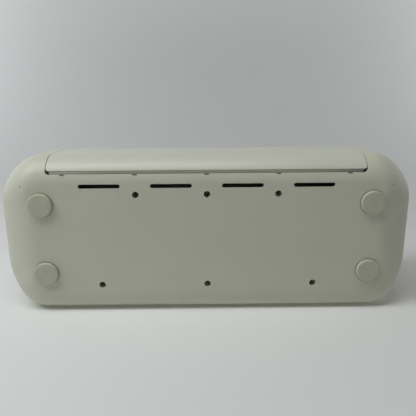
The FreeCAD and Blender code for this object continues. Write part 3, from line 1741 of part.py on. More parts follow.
button_board_plate = block(
    "button_board_plate",
    ("panel_x - panel_width / 2 + 3", "panel_x + panel_width / 2 - 3"),
    ("-panel_length / 2", "panel_length / 2"),
    ("button_board_top - board_thickness", "button_board_top"),
)
button_board = keep(button_board_plate, "button_board")

cup_profile = [
    ("0", "-cup_depth - cup_wall"),
    ("cup_outer - 2", "-cup_depth - cup_wall"),
    ("cup_outer", "-cup_depth + 0.4"),
    ("cup_outer", "-wall - 1.6"),
    ("cup_outer + cup_flange", "-wall - 1.6"),
    ("cup_outer + cup_flange", "-wall"),
    ("cup_outer", "-wall"),
    ("cup_outer", "0"),
    ("cup_radius", "0"),
    ("cup_radius - 0.4", "-cup_depth"),
    ("0", "-cup_depth"),
]
tool_cup = keep(turned("tool_cup", "z", cup_profile, "-cup_x", "0", "overall_height"))

# ---------------------------------------------------------------------------------------------------------
# Check and write out
# ---------------------------------------------------------------------------------------------------------

doc.recompute()
faults = [item.Label for item in doc.Objects if {"Invalid", "Error"} & set(item.State)]
for piece in NODES:
    if piece.Shape.isNull() or not piece.Shape.isValid() or not piece.Shape.Solids:
        faults.append(piece.Label + " has no valid solid")
if faults:
    raise RuntimeError("Failed: " + ", ".join(faults))

os.makedirs("parts", exist_ok=True)
for piece in NODES:
    piece.Shape.exportStep(f"parts/{piece.Label}.step")
    box = piece.Shape.BoundBox
    spans = f"X {box.XMin:7.1f} {box.XMax:7.1f}  Y {box.YMin:7.1f} {box.YMax:7.1f}  Z {box.ZMin:6.1f} {box.ZMax:6.1f}"
    print(f"{piece.Label:24s} solids {len(piece.Shape.Solids)} volume {piece.Shape.Volume:10.0f}  {spans}")
print(len(NODES), "pieces")
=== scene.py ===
"""A desktop cutting machine, dressed for its photograph: it lies on its back and shows its underside.

Metres, in the machine's own frame: +X to the user's right, -Y to the front and +Z up from its feet.
"""

import json
import math

import bmesh
import bpy
import numpy as np
from mathutils import Matrix, Vector
from mathutils.bvhtree import BVHTree


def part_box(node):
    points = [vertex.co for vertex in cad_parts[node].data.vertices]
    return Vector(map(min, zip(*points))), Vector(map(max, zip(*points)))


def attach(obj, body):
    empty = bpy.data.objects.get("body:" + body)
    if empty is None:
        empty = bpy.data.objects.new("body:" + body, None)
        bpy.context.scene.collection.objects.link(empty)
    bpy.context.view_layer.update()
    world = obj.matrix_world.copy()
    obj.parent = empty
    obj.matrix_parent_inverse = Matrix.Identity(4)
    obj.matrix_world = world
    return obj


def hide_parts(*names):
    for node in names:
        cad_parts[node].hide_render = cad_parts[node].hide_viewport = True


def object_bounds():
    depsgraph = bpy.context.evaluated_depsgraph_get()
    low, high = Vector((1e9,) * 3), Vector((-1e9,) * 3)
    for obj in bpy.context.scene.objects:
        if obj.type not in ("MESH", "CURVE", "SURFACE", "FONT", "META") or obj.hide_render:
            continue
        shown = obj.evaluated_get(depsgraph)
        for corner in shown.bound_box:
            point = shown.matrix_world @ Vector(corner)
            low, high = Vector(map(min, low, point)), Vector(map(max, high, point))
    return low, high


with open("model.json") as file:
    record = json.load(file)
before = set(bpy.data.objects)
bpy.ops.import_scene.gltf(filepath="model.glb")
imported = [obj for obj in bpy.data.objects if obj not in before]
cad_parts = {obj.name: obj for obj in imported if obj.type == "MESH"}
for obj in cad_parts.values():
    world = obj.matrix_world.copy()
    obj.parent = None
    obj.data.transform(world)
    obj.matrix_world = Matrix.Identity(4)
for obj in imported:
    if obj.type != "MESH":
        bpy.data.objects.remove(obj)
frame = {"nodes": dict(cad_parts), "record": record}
solid_low, solid_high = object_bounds()

# ---------------------------------------------------------------------------------------------------------
# Camera
#
# It stands in front of the underside, a little above the middle of the machine as that lies on its back,
# and looks down by the tilt. The picture is 416 pixels wide, and so the focal length is given in those
# pixels.
# ---------------------------------------------------------------------------------------------------------

PICTURE_WIDTH = 416
FOCAL_PIXELS = 440
SENSOR_WIDTH = 36.0
NEAREST_SEEN = 0.01
FARTHEST_SEEN = 50
CAMERA_PLACE = Vector((-0.0040, -0.1748, -0.5432))
CAMERA_TILT = math.radians(13.96)
CAMERA_TURN = math.radians(-0.52)
CAMERA_ROLL = math.radians(-0.53)

camera = bpy.data.objects.new("camera", bpy.data.cameras.new("camera"))
bpy.context.scene.collection.objects.link(camera)
bpy.context.scene.camera = camera
camera.data.sensor_width = SENSOR_WIDTH
camera.data.lens = FOCAL_PIXELS * SENSOR_WIDTH / PICTURE_WIDTH
camera.data.clip_start = NEAREST_SEEN
camera.data.clip_end = FARTHEST_SEEN

# The rows of this matrix are the picture's right, its down and the line of sight.
roll_and_turn = Matrix.Rotation(CAMERA_ROLL, 3, "Z") @ Matrix.Rotation(CAMERA_TURN, 3, "Y")
sight = roll_and_turn @ Matrix.Rotation(CAMERA_TILT, 3, "X")
camera_axes = Matrix((sight[0], -sight[1], -sight[2])).transposed()
camera.matrix_world = Matrix.Translation(CAMERA_PLACE) @ camera_axes.to_4x4()

# ---------------------------------------------------------------------------------------------------------
# Table, backdrop and floor
#
# The machine's back lies on plain pale paper that sweeps up into a backdrop, and a second sheet is a floor
# under its feet. Each is seen from its own side only, so every view round the machine has one to stand on.
# ---------------------------------------------------------------------------------------------------------

SWEEP_START = 1.1
SWEEP_RADIUS = 0.9
WALL_HEIGHT = 2.6
TABLE_NEAR = -2.2
TABLE_HALF_WIDTH = 2.6
SWEEP_STEPS = 25
PAPER_GAP = 0.0002
PAPER_COLOUR = (0.845, 0.85, 0.835)
PAPER_ROUGHNESS = 0.75
PAPER_SHINE = 0.25


def sheet_mesh(name, line, across):
    """A sheet: each point of a line in the YZ plane is repeated at each of the given X places."""
    line = np.asarray(line, float)
    across = np.asarray(across, float)
    x, row = np.meshgrid(across, np.arange(len(line)))
    points = np.stack([x, line[row, 0], line[row, 1]], axis=-1).reshape(-1, 3)
    columns = len(across)
    corner = (np.arange(len(line) - 1)[:, None] * columns + np.arange(columns - 1)).reshape(-1)
    faces = np.stack([corner, corner + 1, corner + columns + 1, corner + columns], axis=-1)
    mesh = bpy.data.meshes.new(name)
    mesh.from_pydata(points.tolist(), [], faces.tolist())
    mesh.shade_smooth()
    made = bpy.data.objects.new(name, mesh)
    bpy.context.scene.collection.objects.link(made)
    return made


def paper(name, colour):
    """Plain pale paper that shows on its front only."""
    material = bpy.data.materials.new(name)
    material.use_nodes = True
    tree = material.node_tree
    shader = tree.nodes["Principled BSDF"]
    shader.inputs["Base Color"].default_value = (*colour, 1)
    shader.inputs["Roughness"].default_value = PAPER_ROUGHNESS
    shader.inputs["Specular IOR Level"].default_value = PAPER_SHINE
    clear = tree.nodes.new("ShaderNodeBsdfTransparent")
    facing = tree.nodes.new("ShaderNodeNewGeometry")
    choice = tree.nodes.new("ShaderNodeMixShader")
    tree.links.new(facing.outputs["Backfacing"], choice.inputs[0])
    tree.links.new(shader.outputs[0], choice.inputs[1])
    tree.links.new(clear.outputs[0], choice.inputs[2])
    tree.links.new(choice.outputs[0], tree.nodes["Material Output"].inputs["Surface"])
    return material


def stage_sheet(made, material, lights_machine):
    """Gives a sheet its paper and lets it throw its light on the machine or not."""
    made.data.materials.append(material)
    made.visible_shadow = False
    made.visible_diffuse = lights_machine
    made.visible_glossy = lights_machine
    made.visible_transmission = False


turn = np.linspace(0, math.pi / 2, SWEEP_STEPS)
table_level = solid_high.y + PAPER_GAP
sweep_rise = table_level - SWEEP_RADIUS * (1 - np.cos(turn))
sweep_run = SWEEP_START + SWEEP_RADIUS * np.sin(turn)
sweep_line = np.concatenate([
    [(table_level, TABLE_NEAR)],
    np.stack([sweep_rise, sweep_run], axis=-1),
    [(table_level - WALL_HEIGHT, SWEEP_START + SWEEP_RADIUS)],
])
sheet_width = (-TABLE_HALF_WIDTH, 0, TABLE_HALF_WIDTH)
white_paper = paper("white_paper", PAPER_COLOUR)
stage_sheet(sheet_mesh("table", sweep_line, sheet_width), white_paper, True)
floor_line = [(-TABLE_HALF_WIDTH, -PAPER_GAP), (TABLE_HALF_WIDTH, -PAPER_GAP)]
stage_sheet(sheet_mesh("floor", floor_line, sheet_width), white_paper, False)

# ---------------------------------------------------------------------------------------------------------
# Light
#
# A broad soft light hangs over the machine as it lies, with a window to its left, a weak light to its
# right and two on the backdrop. One more is above and behind it, for the views on its feet. The room's
# pale walls are seen and mirrored, but give little light of their own.
# ---------------------------------------------------------------------------------------------------------

WINDOW_COLOUR = (0.91, 0.955, 1.0)
ROOM_COLOUR = (0.96, 0.98, 1.0)
BACKDROP_LIGHT_COLOUR = (0.93, 0.98, 1.0)
ROOM_LIGHT = 0.06
WALL_BRIGHTNESS = 0.8


def soft_light(name, place, aim, width, height, power, colour=(1, 1, 1)):
    """A rectangular lamp of the given power that faces its aim."""
    lamp = bpy.data.lights.new(name, "AREA")
    lamp.shape = "RECTANGLE"
    lamp.size = width
    lamp.size_y = height
    lamp.energy = power
    lamp.color = colour
    made = bpy.data.objects.new(name, lamp)
    made.location = place
    made.rotation_mode = "QUATERNION"
    made.rotation_quaternion = (Vector(aim) - Vector(place)).to_track_quat("-Z", "Y")
    bpy.context.scene.collection.objects.link(made)


machine_middle = (0, 0, 0.05)
soft_light("overhead_light", (-0.35, -1.5, -0.35), machine_middle, 1.4, 0.6, 10.8)
soft_light("window_light", (-1.1, -1.0, -0.35), machine_middle, 0.8, 0.6, 7.1, WINDOW_COLOUR)
soft_light("right_light", (1.6, -0.9, -0.38), machine_middle, 0.9, 0.7, 1.2, ROOM_COLOUR)
soft_light("left_backdrop_light", (-2.1, -0.8, 1.0), (-1.7, -0.5, 2.0), 0.6, 0.6, 11.5, BACKDROP_LIGHT_COLOUR)
soft_light("right_backdrop_light", (2.1, -0.8, 1.0), (1.7, -0.5, 2.0), 0.6, 0.6, 8.3, BACKDROP_LIGHT_COLOUR)
soft_light("standing_light", (0.4, 0.9, 1.3), machine_middle, 1.1, 1.1, 15)

world = bpy.data.worlds.new("studio")
bpy.context.scene.world = world
world.use_nodes = True
studio = world.node_tree
dim = studio.nodes["Background"]
dim.inputs["Color"].default_value = (*ROOM_COLOUR, 1)
dim.inputs["Strength"].default_value = ROOM_LIGHT
walls = studio.nodes.new("ShaderNodeBackground")
walls.inputs["Color"].default_value = (*ROOM_COLOUR, 1)
walls.inputs["Strength"].default_value = WALL_BRIGHTNESS
path = studio.nodes.new("ShaderNodeLightPath")
seen = studio.nodes.new("ShaderNodeMath")
seen.operation = "MAXIMUM"
choice = studio.nodes.new("ShaderNodeMixShader")
studio.links.new(path.outputs["Is Camera Ray"], seen.inputs[0])
studio.links.new(path.outputs["Is Glossy Ray"], seen.inputs[1])
studio.links.new(seen.outputs[0], choice.inputs[0])
studio.links.new(dim.outputs[0], choice.inputs[1])
studio.links.new(walls.outputs[0], choice.inputs[2])
studio.links.new(choice.outputs[0], studio.nodes["World Output"].inputs["Surface"])
bpy.context.scene.view_settings.view_transform = "Standard"

# ---------------------------------------------------------------------------------------------------------
# Base and upper housing
#
# Two shells of warm off-white plastic, moulded with a fine even grain. They meet in a closed joint round
# the middle of the case and are held by the six screws under it.
# ---------------------------------------------------------------------------------------------------------

CASE_COLOUR = (0.594, 0.597, 0.478)
CASE_ROUGHNESS = 0.42
GRAIN_SIZE = 0.0006
CLOUD_SIZE = 0.07
ROUGHNESS_DRIFT = 0.06
EASED_ANGLE = math.radians(28)
EASED_SEGMENTS = 2
FLAT_ANGLE = math.radians(0.3)
MERGE_DISTANCE = 2e-6
CORNER_RADIUS = 0.066
CORNER_LEANNESS = 0.055
CORNER_FROM = 0.035
CORNER_FULL = 0.060
UNDERSIDE = 0.005
LOW_ROUND = 0.034
LOW_END_ROUND = 0.060
ROUND_POWER = 2.9
FADE_ANGLE = math.radians(70)
LEAST_DISTANCE = 1e-9
LEAST_BEHIND = 1e-6

nodes = frame["nodes"]
body_of = {node: body for body, held in frame["record"]["behaviour"]["bodies"].items() for node in held}
slot_of = {part["node"]: part["material_slot"] for part in frame["record"]["subparts"]}


def group_socket(group, name, way, value=None, kind="NodeSocketFloat"):
    """Adds one named input or output to a shader node group, with its value where one is given."""
    made = group.interface.new_socket(name=name, in_out=way, socket_type=kind)
    if value is not None:
        made.default_value = value


def build_grain():
    """Moulded grain: fine noise for the bump, and slow wide noise that tints the surface a little."""
    group = bpy.data.node_groups.new("moulded_grain", "ShaderNodeTree")
    group_socket(group, "Grain Size", "INPUT", GRAIN_SIZE)
    group_socket(group, "Cloud Size", "INPUT", CLOUD_SIZE)
    group_socket(group, "Height", "OUTPUT")
    group_socket(group, "Cloud", "OUTPUT")
    enter = group.nodes.new("NodeGroupInput")
    leave = group.nodes.new("NodeGroupOutput")
    place = group.nodes.new("ShaderNodeTexCoord")
    for size, result, detail in (("Grain Size", "Height", 2.0), ("Cloud Size", "Cloud", 3.0)):
        rate = group.nodes.new("ShaderNodeMath")
        rate.operation = "DIVIDE"
        rate.inputs[0].default_value = 1.0
        noise = group.nodes.new("ShaderNodeTexNoise")
        noise.inputs["Detail"].default_value = detail
        group.links.new(enter.outputs[size], rate.inputs[1])
        group.links.new(rate.outputs[0], noise.inputs["Scale"])
        group.links.new(place.outputs["Object"], noise.inputs["Vector"])
        group.links.new(noise.outputs["Fac"], leave.inputs[result])
    return group


moulded_grain = build_grain()


def moulded(name, colour, roughness, grain=GRAIN_SIZE, depth=0.00002, cloud=CLOUD_SIZE, tint=0.03,
            specular=0.5):
    """Moulded plastic. Its colour and roughness drift a little with the cloud, and its bump is the grain."""
    material = bpy.data.materials.new(name)
    material.use_nodes = True
    tree = material.node_tree
    shader = tree.nodes["Principled BSDF"]
    shader.inputs["Specular IOR Level"].default_value = specular
    pattern = tree.nodes.new("ShaderNodeGroup")
    pattern.node_tree = moulded_grain
    pattern.inputs["Grain Size"].default_value = grain
    pattern.inputs["Cloud Size"].default_value = cloud
    shade = tree.nodes.new("ShaderNodeMix")
    shade.data_type = "RGBA"
    shade.inputs["A"].default_value = (*[part * (1 - tint) for part in colour], 1)
    shade.inputs["B"].default_value = (*[min(1, part * (1 + tint)) for part in colour], 1)
    tree.links.new(pattern.outputs["Cloud"], shade.inputs["Factor"])
    tree.links.new(shade.outputs["Result"], shader.inputs["Base Color"])
    rough = tree.nodes.new("ShaderNodeMapRange")
    rough.inputs["To Min"].default_value = roughness - ROUGHNESS_DRIFT
    rough.inputs["To Max"].default_value = roughness + ROUGHNESS_DRIFT
    tree.links.new(pattern.outputs["Cloud"], rough.inputs["Value"])
    tree.links.new(rough.outputs["Result"], shader.inputs["Roughness"])
    bump = tree.nodes.new("ShaderNodeBump")
    bump.inputs["Distance"].default_value = depth
    tree.links.new(pattern.outputs["Height"], bump.inputs["Height"])
    tree.links.new(bump.outputs["Normal"], shader.inputs["Normal"])
    return material


def belongs(made, body, slot, *replaced):
    """Says what a piece rides on and which nodes it replaces. Its slot, the finish it stands for, is not
    used.
    """
    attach(made, body)
    if replaced:
        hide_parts(*replaced)
    return made


def eased(node, title, material, edge=0.0003):
    """A copy of a node with its doubles merged, its flat faces made whole and its sharp edges rounded.

    It takes the node's own body, and replaces the node.
    """
    shell = bmesh.new()
    shell.from_mesh(nodes[node].data)
    bmesh.ops.remove_doubles(shell, verts=shell.verts, dist=MERGE_DISTANCE)
    bmesh.ops.dissolve_limit(shell, angle_limit=FLAT_ANGLE, verts=shell.verts, edges=shell.edges)
    mesh = bpy.data.meshes.new(title)
    shell.to_mesh(mesh)
    shell.free()
    mesh.materials.clear()
    mesh.materials.append(material)
    mesh.shade_smooth()
    made = bpy.data.objects.new(title, mesh)
    bpy.context.scene.collection.objects.link(made)
    rounding = made.modifiers.new("eased_edges", "BEVEL")
    rounding.width = edge
    rounding.segments = EASED_SEGMENTS
    rounding.limit_method = "ANGLE"
    rounding.angle_limit = EASED_ANGLE
    rounding.miter_outer = "MITER_ARC"
    made.modifiers.new("even_shading", "WEIGHTED_NORMAL").keep_sharp = True
    return belongs(made, body_of[node], slot_of[node], node)


def points_of(mesh):
    """The places of a mesh's points, one row for each."""
    points = np.empty(len(mesh.vertices) * 3)
    mesh.vertices.foreach_get("co", points)
    return points.reshape(-1, 3)


def leaner_corners(made):
    """Makes the two upright front corners leaner than a circle, seen from above.

    Each point of a corner moves in towards the corner's axis by a share of its distance from it. The share
    is the square of the sine of twice its angle, times the leanness, and so it is nothing where the corner
    meets the front and the end. What lies nearer to the axis than the outer skin moves less, and the
    middle not at all.
    """
    points = points_of(made.data)
    out = np.maximum(np.abs(points[:, 0]) - (solid_high.x - CORNER_RADIUS), 0)
    ahead = np.maximum(solid_low.y + CORNER_RADIUS - points[:, 1], 0)
    away = np.maximum(np.hypot(out, ahead), LEAST_DISTANCE)
    share = np.clip((away - CORNER_FROM) / (CORNER_FULL - CORNER_FROM), 0, 1)
    drawn_in = CORNER_LEANNESS * (2 * out * ahead / away ** 2) ** 2 * share * share * (3 - 2 * share)
    points[:, 0] -= np.sign(points[:, 0]) * out * drawn_in
    points[:, 1] += ahead * drawn_in
    made.data.vertices.foreach_set("co", points.reshape(-1))
    made.data.update()
    return made


def fuller_round(made):
    """Makes the round along the lower rear edge fuller than a circle.

    In the section of that edge, u runs out to the rear wall and v down to the underside, both from 0 where
    the round starts to 1. Each point's distance from that start grows by a factor: the distance over the
    n-th root of the sum of u and v, each to the power n. That turns the circle into a superellipse of
    power n. The power sinks to 2, a circle, round the case's corners.
    """
    points = points_of(made.data)
    beyond = np.maximum(np.abs(points[:, 0]) - (solid_high.x - CORNER_RADIUS), 0)
    behind = points[:, 1] - (solid_high.y - CORNER_RADIUS)
    around = np.arctan2(beyond, np.maximum(behind, LEAST_BEHIND))
    radius = LOW_ROUND + (LOW_END_ROUND - LOW_ROUND) * around / (math.pi / 2)
    u = (np.hypot(beyond, behind) - (CORNER_RADIUS - radius)) / radius
    v = (UNDERSIDE + radius - points[:, 2]) / radius
    held = (behind > 0) & (u > 0) & (v > 0)
    # Points outside the round stay where they are. A half stands in for their u and v.
    u, v = np.where(held, u, 0.5), np.where(held, v, 0.5)
    fade = np.clip(1 - around / FADE_ANGLE, 0, 1)
    power = 2 + (ROUND_POWER - 2) * fade * fade * (3 - 2 * fade)
    grown = np.hypot(u, v) / (u ** power + v ** power) ** (1 / power)
    grown = np.clip(grown, 1, np.maximum(1, 1 / np.maximum(u, v)))
    move = np.where(held, grown - 1, 0) * radius
    points[:, 0] += np.sign(points[:, 0]) * np.sin(around) * u * move
    points[:, 1] += np.cos(around) * u * move
    points[:, 2] -= v * move
    made.data.vertices.foreach_set("co", points.reshape(-1))
    made.data.update()


case_plastic = moulded("case_plastic", CASE_COLOUR, CASE_ROUGHNESS)
fuller_round(leaner_corners(eased("base_housing", "base_moulding", case_plastic)))
leaner_corners(eased("upper_housing", "upper_moulding", case_plastic))

# ---------------------------------------------------------------------------------------------------------
# Front door and lid
#
# One smooth satin skin each, in the same off-white. The door drops forward on its two lower pins, and the
# lid swings back on its rolled rear edge.
# ---------------------------------------------------------------------------------------------------------

SKIN_EDGE = 0.0005

door_plastic = moulded("door_plastic", (0.62, 0.625, 0.52), 0.36, depth=0.000008)
eased("door_shell", "door_skin", door_plastic, edge=SKIN_EDGE)
eased("lid_shell", "lid_skin", door_plastic, edge=SKIN_EDGE)

# ---------------------------------------------------------------------------------------------------------
# Pin marks
#
# Where the mould's pins pushed the base out, each corner of the underside shows a small low ring with a
# dimple in it, coloured near black as painted shade. Their places are given in the picture, and found on
# the base's solid by looking along the camera's rays.
# ---------------------------------------------------------------------------------------------------------

PIN_MARKS_IN_PICTURE = ((19.6, 187.0), (29.7, 290.4), (393.5, 184.5), (384.6, 286.3))
PIN_MARK_PROFILE = ((0, -0.0004), (0.0018, -0.0004), (0.0017, 0.0001), (0.0013, 0.00025), (0.0009, 0.0002),
                    (0.0008, 0.00008), (0, 0.00005))
PIN_MARK_SIDES = 32
DIMPLE_RINGS = 2


def mesh_object(name, points, faces, materials):
    """An object in the machine's own frame, with smooth faces and the given finishes."""
    mesh = bpy.data.meshes.new(name)
    mesh.from_pydata(np.asarray(points, float).tolist(), [], faces)
    for material in materials:
        mesh.materials.append(material)
    mesh.shade_smooth()
    made = bpy.data.objects.new(name, mesh)
    bpy.context.scene.collection.objects.link(made)
    return made


def turned_shape(profile, sides):
    """A closed surface of revolution about Z: every (radius, height) of a profile becomes a ring of points.

    The first and the last point lie on the axis and are the two poles. Faces are listed ring by ring.
    """
    radius, height = np.asarray(profile[1:-1], float).T
    angle = np.linspace(0, 2 * math.pi, sides, endpoint=False)
    x = np.outer(radius, np.cos(angle))
    y = np.outer(radius, np.sin(angle))
    rings = np.stack([x, y, np.repeat(height[:, None], sides, axis=1)], axis=-1).reshape(-1, 3)
    points = np.concatenate([[(0, 0, profile[0][1])], rings, [(0, 0, profile[-1][1])]])
    step = np.arange(sides)
    ahead = (step + 1) % sides
    pole, tip = 0 * step, 0 * step + len(points) - 1
    low = 1 + sides * np.arange(len(radius) - 1)[:, None]
    high = low + sides
    between = np.stack([low + step, low + ahead, high + ahead, high + step], axis=-1).reshape(-1, 4)
    last = 1 + (len(radius) - 1) * sides
    first_fan = np.stack([pole, 1 + ahead, 1 + step], axis=-1)
    last_fan = np.stack([tip, last + step, last + ahead], axis=-1)
    return points, first_fan.tolist() + between.tolist() + last_fan.tolist()


def turned(name, profile, place, materials, sides, toward=(0, 0, 1)):
    """A turned piece whose axis starts at a place and runs in a direction."""
    points, faces = turned_shape(profile, sides)
    lean = np.array(Vector((0, 0, 1)).rotation_difference(Vector(toward)).to_matrix())
    return mesh_object(name, points @ lean.T + np.asarray(place, float), faces, materials)


def surface_of(made):
    """The faces of an object's mesh, ready to be met by rays."""
    faces = [face.vertices[:] for face in made.data.polygons]
    return BVHTree.FromPolygons(points_of(made.data).tolist(), faces)


# Near black: painted shade in the hollow of each dimple.
dimple_painted_shade = moulded("dimple_painted_shade", (0.05, 0.048, 0.04), 0.6)
base_surface = surface_of(nodes["base_housing"])
picture_middle = PICTURE_WIDTH / 2
for number, (across, down) in enumerate(PIN_MARKS_IN_PICTURE, 1):
    ray = sight[0] * (across - picture_middle) + sight[1] * (down - picture_middle) + sight[2] * FOCAL_PIXELS
    spot, outward, _face, _distance = base_surface.ray_cast(CAMERA_PLACE, ray.normalized())
    finishes = (case_plastic, dimple_painted_shade)
    pin_mark = turned(f"pin_mark_{number}", PIN_MARK_PROFILE, spot, finishes, PIN_MARK_SIDES, outward)
    # The dimple's faces take the painted shade.
    for face in pin_mark.data.polygons[-PIN_MARK_SIDES * DIMPLE_RINGS:]:
        face.material_index = 1
    belongs(pin_mark, "case", "case_plastic")

# ---------------------------------------------------------------------------------------------------------
# Ledge under the door
#
# A thin lip closes most of the gap between the base and the lower edge of the door, a little deeper than
# both. Its darker grey is painted shade, for the shadow in that gap. It ends short of the door's rounded
# corners, where the gap stays open.
# ---------------------------------------------------------------------------------------------------------

LEDGE_HALF = 0.1995
LEDGE_FRONT = 0.0184
LEDGE_BACK = 0.0228
LEDGE_END = 0.0252
LEDGE_FRONT_LEVEL = 0.00868
LEDGE_BACK_LEVEL = 0.00975
LEDGE_THICKNESS = 0.00025
LEDGE_PLACES = 9

# The case's plastic, darkened by painted shade for the shadow in the gap under the door.
ledge_painted_shade = moulded("ledge_painted_shade", (0.30, 0.30, 0.235), 0.6)
front = solid_low.y
ledge_line = [(front + LEDGE_END, LEDGE_BACK_LEVEL), (front + LEDGE_BACK, LEDGE_BACK_LEVEL),
              (front + LEDGE_FRONT, LEDGE_FRONT_LEVEL)]
ledge = sheet_mesh("door_ledge", ledge_line, np.linspace(-LEDGE_HALF, LEDGE_HALF, LEDGE_PLACES))
ledge.data.materials.append(ledge_painted_shade)
ledge.modifiers.new("lip", "SOLIDIFY").thickness = LEDGE_THICKNESS
belongs(ledge, "case", "case_plastic")

# ---------------------------------------------------------------------------------------------------------
# Feet
#
# Four round pads of soft pale rubber, faintly mottled. Each is stuck into a shallow recess of the base
# that it does not quite fill, and its rim is rounded where it meets the table.
# ---------------------------------------------------------------------------------------------------------

FOOT_RIM = 0.0021
FOOT_GROOVE = 0.0006
FOOT_RIM_STEPS = 9
FOOT_FACE_SHARE = 0.5
FOOT_SIDES = 96

foot_rubber = moulded("foot_rubber", (0.51, 0.51, 0.395), 0.5, grain=0.0009, depth=0.00004, cloud=0.006,
                      tint=0.10, specular=0.3)


def middle_of(node):
    """The lowest and the highest corner of a node at rest, and the middle between them."""
    low, high = (np.array(corner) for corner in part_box(node))
    return low, high, (low + high) / 2


for node in ("foot_front_left", "foot_front_right", "foot_rear_left", "foot_rear_right"):
    low, high, middle = middle_of(node)
    radius = (high[0] - low[0]) / 2 - FOOT_GROOVE
    roll = np.linspace(-math.pi / 2, 0, FOOT_RIM_STEPS)
    rim_radius = radius - FOOT_RIM + FOOT_RIM * np.cos(roll)
    rim_height = low[2] + FOOT_RIM + FOOT_RIM * np.sin(roll)
    rim = np.stack([rim_radius, rim_height], axis=-1)
    face_ring = (radius * FOOT_FACE_SHARE, low[2])
    profile = [(0, low[2]), face_ring, *rim.tolist(), (radius, high[2]), (0, high[2])]
    pad = turned(f"{node}_pad", profile, (middle[0], middle[1], 0), (foot_rubber,), FOOT_SIDES)
    belongs(pad, body_of[node], slot_of[node], node)

# ---------------------------------------------------------------------------------------------------------
# Screws
#
# Six dark steel screws with cross recesses hold the two housings together. They are driven in from below,
# and their heads sit at the bottom of deep wells. Their steel is made darker still with painted shade, for
# the shade in those wells.
# ---------------------------------------------------------------------------------------------------------

SCREW_HEAD_HEIGHT = 0.0024
SCREW_SIDES = 48
DOME_RISE = 0.3
DOME_REACH = 0.9
DOME_RINGS = 13
RIM_LEVEL = 0.5
RECESS_LENGTH = 0.62
RECESS_WIDTH = 0.17
RECESS_DEPTH = 0.42
RECESS_LEVEL = 0.35
SHANK_SHARE = 0.47
THREAD_PITCH = 0.0011
THREAD_DEPTH = 0.00022
THREAD_STEPS = 5
BLOTCH_SIZE = 0.01
METAL_ROUGHNESS_DRIFT = 0.1


def build_marks():
    """Marks on metal: fine lines drawn out along one axis, and slow blotches."""
    group = bpy.data.node_groups.new("metal_marks", "ShaderNodeTree")
    group_socket(group, "Stretch", "INPUT", kind="NodeSocketVector")
    group_socket(group, "Blotch Size", "INPUT", BLOTCH_SIZE)
    group_socket(group, "Lines", "OUTPUT")
    group_socket(group, "Blotch", "OUTPUT")
    enter = group.nodes.new("NodeGroupInput")
    leave = group.nodes.new("NodeGroupOutput")
    place = group.nodes.new("ShaderNodeTexCoord")
    drawn = group.nodes.new("ShaderNodeVectorMath")
    drawn.operation = "MULTIPLY"
    group.links.new(place.outputs["Object"], drawn.inputs[0])
    group.links.new(enter.outputs["Stretch"], drawn.inputs[1])
    lines = group.nodes.new("ShaderNodeTexNoise")
    lines.inputs["Scale"].default_value = 1.0
    lines.inputs["Detail"].default_value = 3.0
    group.links.new(drawn.outputs["Vector"], lines.inputs["Vector"])
    group.links.new(lines.outputs["Fac"], leave.inputs["Lines"])
    rate = group.nodes.new("ShaderNodeMath")
    rate.operation = "DIVIDE"
    rate.inputs[0].default_value = 1.0
    group.links.new(enter.outputs["Blotch Size"], rate.inputs[1])
    blotch = group.nodes.new("ShaderNodeTexNoise")
    blotch.inputs["Detail"].default_value = 4.0
    group.links.new(rate.outputs[0], blotch.inputs["Scale"])
    group.links.new(place.outputs["Object"], blotch.inputs["Vector"])
    group.links.new(blotch.outputs["Fac"], leave.inputs["Blotch"])
    return group


metal_marks = build_marks()


def metal(name, colour, roughness, stretch=(900, 900, 900), blotch=BLOTCH_SIZE, tint=0.08,
          depth=0.000004):
    """Bare metal. Its colour and roughness drift with the blotches, and its fine lines are the bump."""
    material = bpy.data.materials.new(name)
    material.use_nodes = True
    tree = material.node_tree
    shader = tree.nodes["Principled BSDF"]
    shader.inputs["Metallic"].default_value = 1.0
    pattern = tree.nodes.new("ShaderNodeGroup")
    pattern.node_tree = metal_marks
    pattern.inputs["Stretch"].default_value = stretch
    pattern.inputs["Blotch Size"].default_value = blotch
    shade = tree.nodes.new("ShaderNodeMix")
    shade.data_type = "RGBA"
    shade.inputs["A"].default_value = (*[part * (1 - tint) for part in colour], 1)
    shade.inputs["B"].default_value = (*[min(1, part * (1 + tint)) for part in colour], 1)
    tree.links.new(pattern.outputs["Blotch"], shade.inputs["Factor"])
    tree.links.new(shade.outputs["Result"], shader.inputs["Base Color"])
    rough = tree.nodes.new("ShaderNodeMapRange")
    rough.inputs["To Min"].default_value = roughness - METAL_ROUGHNESS_DRIFT
    rough.inputs["To Max"].default_value = roughness + METAL_ROUGHNESS_DRIFT
    tree.links.new(pattern.outputs["Lines"], rough.inputs["Value"])
    tree.links.new(rough.outputs["Result"], shader.inputs["Roughness"])
    bump = tree.nodes.new("ShaderNodeBump")
    bump.inputs["Distance"].default_value = depth
    tree.links.new(pattern.outputs["Lines"], bump.inputs["Height"])
    tree.links.new(bump.outputs["Normal"], shader.inputs["Normal"])
    return material


def separate_boxes(node):
    """The lowest and highest corner of each separate solid of a node, as arrays, from left to right."""
    shell = bmesh.new()
    shell.from_mesh(nodes[node].data)
    bmesh.ops.remove_doubles(shell, verts=shell.verts, dist=MERGE_DISTANCE)
    left = set(shell.verts)
    boxes = []
    while left:
        reached = [left.pop()]
        for vertex in reached:
            near = {edge.other_vert(vertex) for edge in vertex.link_edges} & left
            left -= near
            reached.extend(near)
        places = np.array([vertex.co[:] for vertex in reached])
        boxes.append((places.min(axis=0), places.max(axis=0)))
    shell.free()
    return sorted(boxes, key=lambda box: tuple(box[0]))


